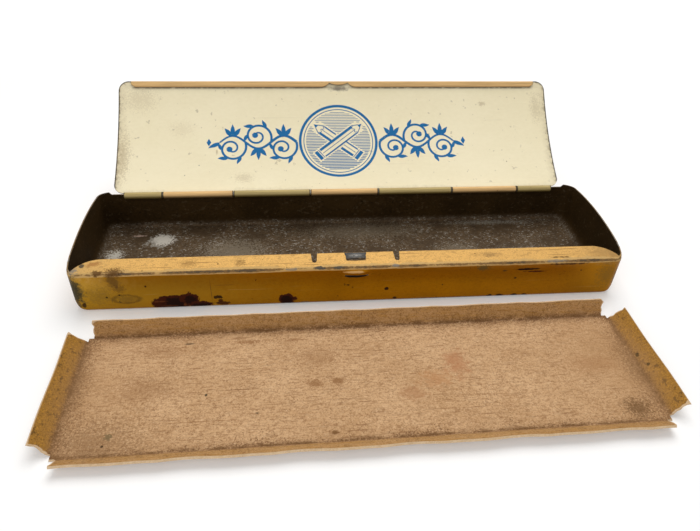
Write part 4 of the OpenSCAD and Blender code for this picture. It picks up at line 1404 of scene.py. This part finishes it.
def gold_strip(name, tint, low):
    """Gold lacquer of the hem or knuckles: streaked along, darker at joints, with painted shade
    along the low edge.
    """
    f = Finish(name, tint, 0.5, 0.15, 0.2)
    streaks = f.drawn((60, 1500, 1500), 1, 3, 0.6)
    f.layer(f.ramp(streaks, 0.35, 0.7), shade(tint, 0.72), 0.8)
    # Painted shade on the low side
    f.layer(f.mark("low"), low, 0.9, rough=0.5)
    f.wear(f.mark("edge"), 0.05, 700, (0.30, 0.21, 0.11), 0.7, rough=0.5)
    f.layer(f.ramp(f.mark("joint"), 0.1, 0.45, 1.0, 0.0), (0.015, 0.011, 0.007), 0.95, 0.7)
    f.specks((500, 900, 900), 0.68, 0.05, BROWN, 0.6)
    return f.done()


def dark_lining(c):
    """Dark lacquer inside the tray: grey with dust and scuffs on the floor, a paler line of dust
    and painted highlight along its fillet, corroded spots.
    """
    f = Finish("Dark lining", c.lining, 0.55, 0.0, 0.08)
    f.layer(f.effect("Mottle", cloud=60, grain=1300, share=0.4), shade(c.lining, 2.1), 0.9)
    f.specks((600, 900, 900), 0.60, 0.05, (0.075, 0.052, 0.028), 0.55)
    high = f.node("ShaderNodeSeparateXYZ", {0: f.place}).outputs["Z"]
    floor = f.ramp(high, 0.6 * MM, 3.4 * MM, 1.0, 0.0)
    f.layer(floor, c.lining_floor, 0.92, rough=0.62)
    cloud = f.noise(f.place, 70, 3, 0.6)
    dust = f.drawn((800, 1100, 1100), 1, 4, 0.7)
    level = f.plus(f.times(cloud, 0.6), f.times(dust, 0.8))
    f.layer(f.times(f.ramp(level, 0.58, 0.90), floor), shade(c.lining_floor, 2.4), 0.6,
            rough=0.7, height=0.3)
    flecks = f.ramp(f.noise(f.place, 1300, 3, 0.7), 0.55, 0.66)
    f.layer(f.times(flecks, f.ramp(cloud, 0.40, 0.62), floor), (0.25, 0.225, 0.18), 0.5)
    f.layer(f.times(f.ramp(level, 0.84, 0.96), floor), ASH, 0.5)
    lace = f.effect("Specks", scale=(900, 1500, 1500), level=0.60, soft=0.03)
    f.layer(f.times(lace, f.ramp(cloud, 0.34, 0.56), floor), (0.33, 0.30, 0.25), 0.8)
    f.specks((700, 900, 900), 0.62, 0.06, shade(c.lining, 0.6), 0.7)
    # Paler line along the floor's fillet: dust in the fold and a painted highlight where the
    # fillet meets the light
    fold = f.times(f.ramp(high, 0.7 * MM, 1.3 * MM), f.ramp(high, 2.4 * MM, 1.5 * MM))
    f.layer(f.times(fold, f.ramp(dust, 0.45, 0.65)), (0.13, 0.11, 0.085), 0.6)
    f.layer(f.effect("Edge wear", edge=f.mark("edge"), amount=0.05), ASH, 0.7)
    f.spots(LINING_MARKS, rough=0.75)
    return f.done(0.03)


def cream_enamel(c, m):
    """Cream enamel inside the lid: faint clouds, grime towards the rim, a dark chipped rim,
    painted shadow along the hem's edge and under its tongue.
    """
    f = Finish("Cream enamel", c.enamel, 0.42, 0.0, 0.25)
    tone = f.effect("Mottle", f.stretch(f.place, (0.6, 1, 1)), cloud=40, grain=900, share=0.3)
    f.layer(tone, shade(c.enamel, 0.945, 0.935, 0.90))
    rim = f.mark("rim")
    rough = f.noise(f.place, 520, 6, 0.72)
    near = f.plus(f.times(rim, 0.16), rough)
    f.layer(f.ramp(near, 0.42, 1.15, 1.0, 0.0), (0.60, 0.51, 0.33), 0.7, rough=0.5)
    f.layer(f.ramp(near, 0.44, 0.70, 1.0, 0.0), (0.25, 0.20, 0.12), 0.8, rough=0.6)
    line = f.plus(f.times(rim, 0.62), f.times(rough, 0.55))
    f.layer(f.ramp(line, 0.46, 0.66, 1.0, 0.0), (0.030, 0.022, 0.014), 0.95, rough=0.6)
    # Painted shadow along the hem's edge
    f.layer(f.times(f.mark("hem_shadow"), f.ramp(rough, 0.30, 0.55)), (0.17, 0.125, 0.07), 0.85)
    f.specks((430, 430, 430), 0.66, 0.06, (0.36, 0.29, 0.18), 0.5)
    f.spots([(lid_point(np.array([x]), np.array([y]), m.sheet, m)[0], (rx, ry, ry), *look)
             for (x, y), (rx, ry), *look in LID_MARKS], rough=0.5)
    f.layer(f.effect("Scratches", scale=(40, 1800, 1800), amount=0.1), (0.60, 0.51, 0.34),
            0.35)
    return f.done(0.01)


def blue_print(c):
    """Blue printing ink: slightly uneven, with pinholes that show the enamel."""
    f = Finish("Blue print", c.blue, 0.5, 0.0, 0.15)
    tone = f.effect("Mottle", cloud=120, grain=2600, share=0.5)
    f.layer(tone, shade(c.blue, 1.5, 1.08, 1.05), 0.8)
    f.specks((1100, 1100, 1100), 0.70, 0.06, shade(c.enamel, 0.85), 0.5)
    return f.done(0.005)


def steel_wire(c):
    """Drawn steel: brushed along, dulled in patches."""
    f = Finish("Steel wire", c.wire, 0.3, 0.9, 0.5)
    streaks = f.drawn((40, 1800, 1800), 1, 3, 0.6)
    f.layer(f.ramp(streaks, 0.35, 0.7), shade(c.wire, 0.55), 0.8, rough=0.45)
    patches = f.effect("Mottle", cloud=420, grain=2600, share=0.3)
    f.layer(patches, (0.10, 0.08, 0.06), 0.75, rough=0.6, metallic=0.3, height=0.4)
    return f.done()


def catch_metal(c):
    """The catch's worn face: dark tin, darker at its raised edge; its dish lighter, as worn tin
    with a painted highlight, and a broken painted highlight along the raised edge.
    """
    f = Finish("Worn catch", (0.035, 0.033, 0.030), 0.5, 0.2, 0.2)
    torn = f.drawn((0.5, 1, 1), 1500, 4, 0.7)
    # Worn bare tin in the dish, lighter also as a painted highlight
    f.layer(f.times(f.mark("dish"), f.ramp(torn, 0.36, 0.56)), c.bare, 0.8, rough=0.4,
            metallic=0.4)
    f.layer(f.mark("edge"), (0.030, 0.022, 0.015), 0.85)
    # Broken painted highlight along the raised edge
    f.layer(f.times(f.mark("edge"), f.ramp(torn, 0.52, 0.60)), (0.34, 0.24, 0.12), 0.7)
    return f.done()


def cut_edge():
    """Raw cut edges of the sheet: dull grey, tarnished brown in patches, gold on the lip, painted
    shade at the slit under the nail ledge.
    """
    f = Finish("Cut edge", (0.20, 0.185, 0.155), 0.5, 0.5, 0.4)
    tarnish = f.effect("Mottle", cloud=150, grain=1800, share=0.4)
    f.layer(tarnish, (0.075, 0.058, 0.038), 0.9, rough=0.6)
    f.layer(f.mark("lip"), (0.16, 0.09, 0.028), 0.85)
    # Painted shade on the slit's rims
    f.spots(SLIT_SHADE_MARKS, metallic=0.0)
    return f.done()


def grey_card(c):
    """Old card: blotched and speckled, ochre flaps, grime in the creases, torn pale edges."""
    f = Finish("Grey card", c.card, 0.88, 0.0, 0.15)
    cloud = f.effect("Mottle", f.stretch(f.place, (0.7, 1, 1)), cloud=70, grain=700, share=0.3)
    f.layer(cloud, shade(c.card, 0.80, 0.75, 0.68), 0.9)
    fibres = f.drawn((190, 1500, 1500), 1, 4, 0.65)
    f.layer(f.ramp(fibres, 0.48, 0.75), shade(c.card, 0.58), 0.62, height=-0.4)
    grain = f.noise(f.place, 2100, 3, 0.75)
    f.layer(f.ramp(grain, 0.50, 0.68), (0.22, 0.105, 0.040), 0.72, height=-0.4)
    f.specks((110, 1500, 1500), 0.60, 0.06, (0.24, 0.115, 0.045), 0.6, height=-0.3)
    f.layer(f.ramp(grain, 0.30, 0.44, 1.0, 0.0), (0.82, 0.60, 0.39), 0.5, height=0.3)
    flecks = f.drawn((0.55, 1, 1), 1150, 4, 0.7)
    f.layer(f.ramp(flecks, 0.50, 0.64), (0.30, 0.155, 0.068), 0.58, height=-0.2)
    toned = f.mark("ochre")
    f.layer(toned, c.card_flap, 0.93)
    f.layer(f.times(toned, f.ramp(fibres, 0.45, 0.7)), shade(c.card_flap, 1.7), 0.7)
    f.layer(f.times(toned, f.ramp(grain, 0.5, 0.68)), shade(c.card_flap, 0.42), 0.75)
    pores = f.effect("Specks", scale=(700, 500, 700), level=0.585, soft=0.06)
    f.layer(f.times(toned, pores), (0.11, 0.055, 0.014), 0.75)
    near = f.times(f.mark("grime"), f.ramp(f.mark("flap"), 0.0, 0.35, 1.0, 0.15))
    blot = f.effect("Mottle", cloud=190, grain=1500, share=0.5)
    f.layer(f.times(blot, near), (0.30, 0.160, 0.064), 0.6)
    sown = f.plus(f.noise(f.place, 1900, 3, 0.75), f.times(near, 0.17))
    patchy = f.plus(sown, f.times(f.noise(f.place, 90), 0.26))
    f.layer(f.ramp(patchy, 0.745, 0.82), (0.14, 0.060, 0.022), 0.7)
    crease = f.mark("crease")
    broken = f.drawn((260, 500, 500), 1, 5, 0.7)
    f.layer(f.times(crease, f.ramp(broken, 0.38, 0.58)), (0.14, 0.065, 0.022), 0.85,
            height=-0.5)
    f.spots(CARD_MARKS, rough=0.9)
    torn = f.plus(f.mark("torn"), f.times(grain, 0.6))
    f.layer(f.ramp(torn, 0.95, 1.2), c.card_torn, 0.85, height=0.6)
    return f.done(0.06)


def raw_card(c):
    """Torn and cut edges of the card: paler and fibrous."""
    f = Finish("Card edge", c.card_torn, 0.95, 0.0, 0.1)
    fibres = f.effect("Mottle", cloud=700, grain=3000, share=0.5)
    f.layer(fibres, shade(c.card_torn, 0.75, 0.68, 0.6), 0.85, height=0.5)
    return f.done(0.08)


def finishes(scene):
    """All finishes of the tin, built once, by name."""
    if "Spot" not in bpy.data.node_groups:
        for make in (make_spot, make_scratches, make_edge_wear, make_mottle, make_specks):
            make()
        c = scene.pencil_tin_finish
        gold_tray(c)
        # Each strip gets a painted lit copy of the lacquer, and last the tint of painted shade on
        # its low side
        gold_strip("Gold lacquer, hem", c.hem_gold, (0.24, 0.13, 0.042))
        gold_strip("Gold lacquer, tin knuckles", c.roll_gold, (0.14, 0.095, 0.022))
        gold_strip("Gold lacquer, lid knuckles", c.hem_gold, (0.15, 0.09, 0.035))
        gold_lid(c)
        dark_lining(c)
        cream_enamel(c, lid_measures(scene))
        blue_print(c)
        catch_metal(c)
        steel_wire(c)
        cut_edge()
        grey_card(c)
        raw_card(c)
    return bpy.data.materials


# ---- Stage -----------------------------------------------------------------------------


# Soft lamps: name, place, target and size in metres, and power in watts
LAMPS = (("key", (0.10, 0.34, 0.80), (0.0, -0.02, 0.0), 0.7, 5.2),
         ("fill", (-0.35, -0.75, 0.55), (0.0, 0.0, 0.0), 0.9, 3.4))
AMBIENT = 0.40

FLOOR_HALF, FLOOR_TOP = 2.0, -2e-5

CAMERA_PLACE = (-21.817, -183.851, 139.683)
CAMERA_TURN = (37.67, 2.582, 6.97)
SENSOR = 36.0
FOCAL_SHARE = 600 / 700     # focal length as a share of the sensor's width


def seen_rays(wire):
    """1 on rays from the camera and on mirrored and passing rays, 0 on all others."""
    rays = wire.node("ShaderNodeLightPath")
    return wire.math("MAXIMUM", rays.outputs["Is Camera Ray"],
                     wire.math("MAXIMUM", rays.outputs["Is Glossy Ray"],
                               rays.outputs["Is Transmission Ray"]))


def add_floor(scene):
    """A wide square just under the tin."""
    mesh = bpy.data.meshes.new("floor")
    mesh.from_pydata([(x * FLOOR_HALF, y * FLOOR_HALF, FLOOR_TOP)
                      for x, y in ((-1, -1), (1, -1), (1, 1), (-1, 1))], [], [(0, 1, 2, 3)])
    floor = bpy.data.objects.new("floor", mesh)
    scene.collection.objects.link(floor)
    mesh.materials.append(floor_finish())


def floor_finish():
    """Pale floor: matt, so it keeps the shadow, lifted to white for the camera.

    Away from the tin it goes over to plain white, and it lets light through from below.
    """
    material = bpy.data.materials.new("Pale floor")
    material.use_nodes = True
    wire = Wiring(material.node_tree)
    material.node_tree.nodes.clear()
    place = wire.node("ShaderNodeTexCoord").outputs["Object"]
    away = wire.vector("LENGTH", place).outputs["Value"]
    far = wire.ramp(away, 0.20, 0.46)
    lift = wire.times(seen_rays(wire), wire.ramp(far, 0.0, 1.0, 0.17, 1.0))
    matt = wire.node("ShaderNodeBsdfDiffuse", {"Color": wire.mix(
        far, (0.84, 0.835, 0.825), (0.30, 0.30, 0.30))})
    glow = wire.node("ShaderNodeEmission", {"Color": (1, 1, 1, 1), "Strength": lift})
    both = wire.node("ShaderNodeAddShader", {0: matt.outputs[0], 1: glow.outputs[0]})
    clear = wire.node("ShaderNodeBsdfTransparent")
    below = wire.node("ShaderNodeNewGeometry").outputs["Backfacing"]
    sides = wire.node("ShaderNodeMixShader", {0: below, 1: both.outputs[0],
                                              2: clear.outputs[0]})
    wire.node("ShaderNodeOutputMaterial", {"Surface": sides.outputs[0]})
    return material


def white_surroundings():
    """White where it is seen or mirrored, a soft ambient light elsewhere."""
    world = bpy.data.worlds.new("White surroundings")
    world.use_nodes = True
    world.node_tree.nodes.clear()
    wire = Wiring(world.node_tree)
    level = wire.ramp(seen_rays(wire), 0.0, 1.0, AMBIENT, 1.0)
    glow = wire.node("ShaderNodeBackground", {"Color": (1, 1, 1, 1), "Strength": level})
    wire.node("ShaderNodeOutputWorld", {"Surface": glow.outputs[0]})
    return world


def add_lamp(name, place, target, size, power):
    """A square soft lamp at `place`, facing `target`."""
    lamp = bpy.data.lights.new(name, "AREA")
    lamp.size, lamp.energy = size, power
    holder = bpy.data.objects.new(name, lamp)
    holder.location = place
    holder.rotation_euler = (Vector(target) - Vector(place)).to_track_quat("-Z", "Y").to_euler()
    bpy.context.scene.collection.objects.link(holder)


def add_camera(scene):
    """The camera: turned by yaw, then tilted down by pitch and rolled about its own axis."""
    pitch, roll, yaw = (math.radians(a) for a in CAMERA_TURN)
    level = Matrix(((1, 0, 0), (0, 0, -1), (0, 1, 0)))
    view = (Matrix.Rotation(roll, 3, "Z") @ Matrix.Rotation(pitch, 3, "X") @ level
            @ Matrix.Rotation(yaw, 3, "Z"))
    frame_axes = Matrix((view[0], -view[1], -view[2])).transposed()
    data = bpy.data.cameras.new("camera")
    data.sensor_width, data.lens = SENSOR, FOCAL_SHARE * SENSOR
    data.clip_start = 0.01
    camera = bpy.data.objects.new("camera", data)
    camera.matrix_world = (Matrix.Translation(Vector(CAMERA_PLACE) * MM)
                           @ frame_axes.to_4x4())
    scene.collection.objects.link(camera)
    scene.camera = camera


# ---- Operators -------------------------------------------------------------------------


class PENCILTIN_OT_tray(bpy.types.Operator):
    """Build the tray with its lip, catch, nail ledge and knuckles"""

    bl_idname = "pencil_tin.tray"
    bl_label = "Tray"

    def execute(self, context):
        m = tin_measures(context.scene)
        paint = finishes(context.scene)
        tray = build_tray(m, [paint["Gold lacquer, tray"], paint["Dark lining"],
                              paint["Cut edge"]])
        catch = build_catch(m, [paint["Worn catch"]] * 3)
        rolled = [paint["Gold lacquer, tin knuckles"]] * 2 + [paint["Cut edge"]]
        sizes = (m.end_knuckle, m.tin_knuckle, m.tin_knuckle, m.end_knuckle)
        middles = (-m.end_x, -m.pitch, m.pitch, m.end_x)
        knuckles = build_knuckles("tin", zip(middles, sizes), m, rolled)
        for piece, slot in ((tray, "gold_lacquer"), (catch, "bare_tin"),
                            (knuckles, "gold_lacquer")):
            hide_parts("base_shell")
        return {"FINISHED"}


class PENCILTIN_OT_lid(bpy.types.Operator):
    """Build the lid with its hem, knuckles and printed ornament"""

    bl_idname = "pencil_tin.lid"
    bl_label = "Lid"

    def execute(self, context):
        m = lid_measures(context.scene)
        paint = finishes(context.scene)
        hem, rolled = paint["Gold lacquer, hem"], paint["Gold lacquer, lid knuckles"]
        edge = paint["Cut edge"]
        spans = [(middle, m.lid_knuckle) for middle in m.lid_centres]
        panel = build_lid_panel(m, [paint["Gold lacquer, lid"], paint["Cream enamel"], edge])
        for piece, slot in (
                (panel, "cream_enamel"), (build_lid_hem(m, [hem, hem, edge]), "gold_lacquer"),
                (build_knuckles("lid", spans, m, [rolled, rolled, edge]), "gold_lacquer"),
                (build_print(m, [paint["Blue print"]] * 3), "blue_print")):
            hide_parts("lid_shell")
        return {"FINISHED"}


class PENCILTIN_OT_wire(bpy.types.Operator):
    """Give the hinge wire its steel finish"""

    bl_idname = "pencil_tin.wire"
    bl_label = "Hinge wire"

    def execute(self, context):
        wire = frame["nodes"]["hinge_pin"]
        wire.data.materials.clear()
        wire.data.materials.append(finishes(context.scene)["Steel wire"])
        return {"FINISHED"}


class PENCILTIN_OT_card(bpy.types.Operator):
    """Build the folded card liner"""

    bl_idname = "pencil_tin.card"
    bl_label = "Card liner"

    def execute(self, context):
        paint = finishes(context.scene)
        card = build_card(context, [paint["Grey card"]] * 2 + [paint["Card edge"]])
        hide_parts("card_liner")
        return {"FINISHED"}


class PENCILTIN_OT_stage(bpy.types.Operator):
    """Lay the pale floor and set the soft lights and the camera"""

    bl_idname = "pencil_tin.stage"
    bl_label = "Stage"

    def execute(self, context):
        scene = context.scene
        scene.view_settings.view_transform = "Standard"
        add_floor(scene)
        scene.world = white_surroundings()
        for lamp in LAMPS:
            add_lamp(*lamp)
        add_camera(scene)
        return {"FINISHED"}


class PENCILTIN_PT_panel(bpy.types.Panel):
    """Sidebar panel with the tin's sizes, finishes and build steps"""

    bl_label = "Pencil Tin"
    bl_idname = "PENCILTIN_PT_panel"
    bl_space_type = "VIEW_3D"
    bl_region_type = "UI"
    bl_category = "Pencil Tin"

    def draw(self, context):
        for holder in ("pencil_tin", "pencil_tin_lid", "pencil_tin_card", "pencil_tin_finish"):
            group = getattr(context.scene, holder)
            box = self.layout.box()
            for prop in group.bl_rna.properties:
                if prop.identifier not in {"rna_type", "name"}:
                    box.prop(group, prop.identifier)
        for step in BUILD_STEPS:
            self.layout.operator(step.bl_idname)


BUILD_STEPS = (PENCILTIN_OT_stage, PENCILTIN_OT_tray, PENCILTIN_OT_wire, PENCILTIN_OT_lid,
               PENCILTIN_OT_card)
GROUPS = {"pencil_tin": TinSizes, "pencil_tin_lid": LidSizes, "pencil_tin_card": CardSizes,
          "pencil_tin_finish": Finishes}


def register():
    for kind in (*GROUPS.values(), *BUILD_STEPS, PENCILTIN_PT_panel):
        bpy.utils.register_class(kind)
    for holder, kind in GROUPS.items():
        setattr(bpy.types.Scene, holder, PointerProperty(type=kind))


def unregister():
    for holder in GROUPS:
        delattr(bpy.types.Scene, holder)
    for kind in (PENCILTIN_PT_panel, *reversed(BUILD_STEPS), *reversed(GROUPS.values())):
        bpy.utils.unregister_class(kind)


def main():
    register()
    for step in BUILD_STEPS:
        area, name = step.bl_idname.split(".")
        getattr(getattr(bpy.ops, area), name)()


if __name__ == "__main__":
    main()
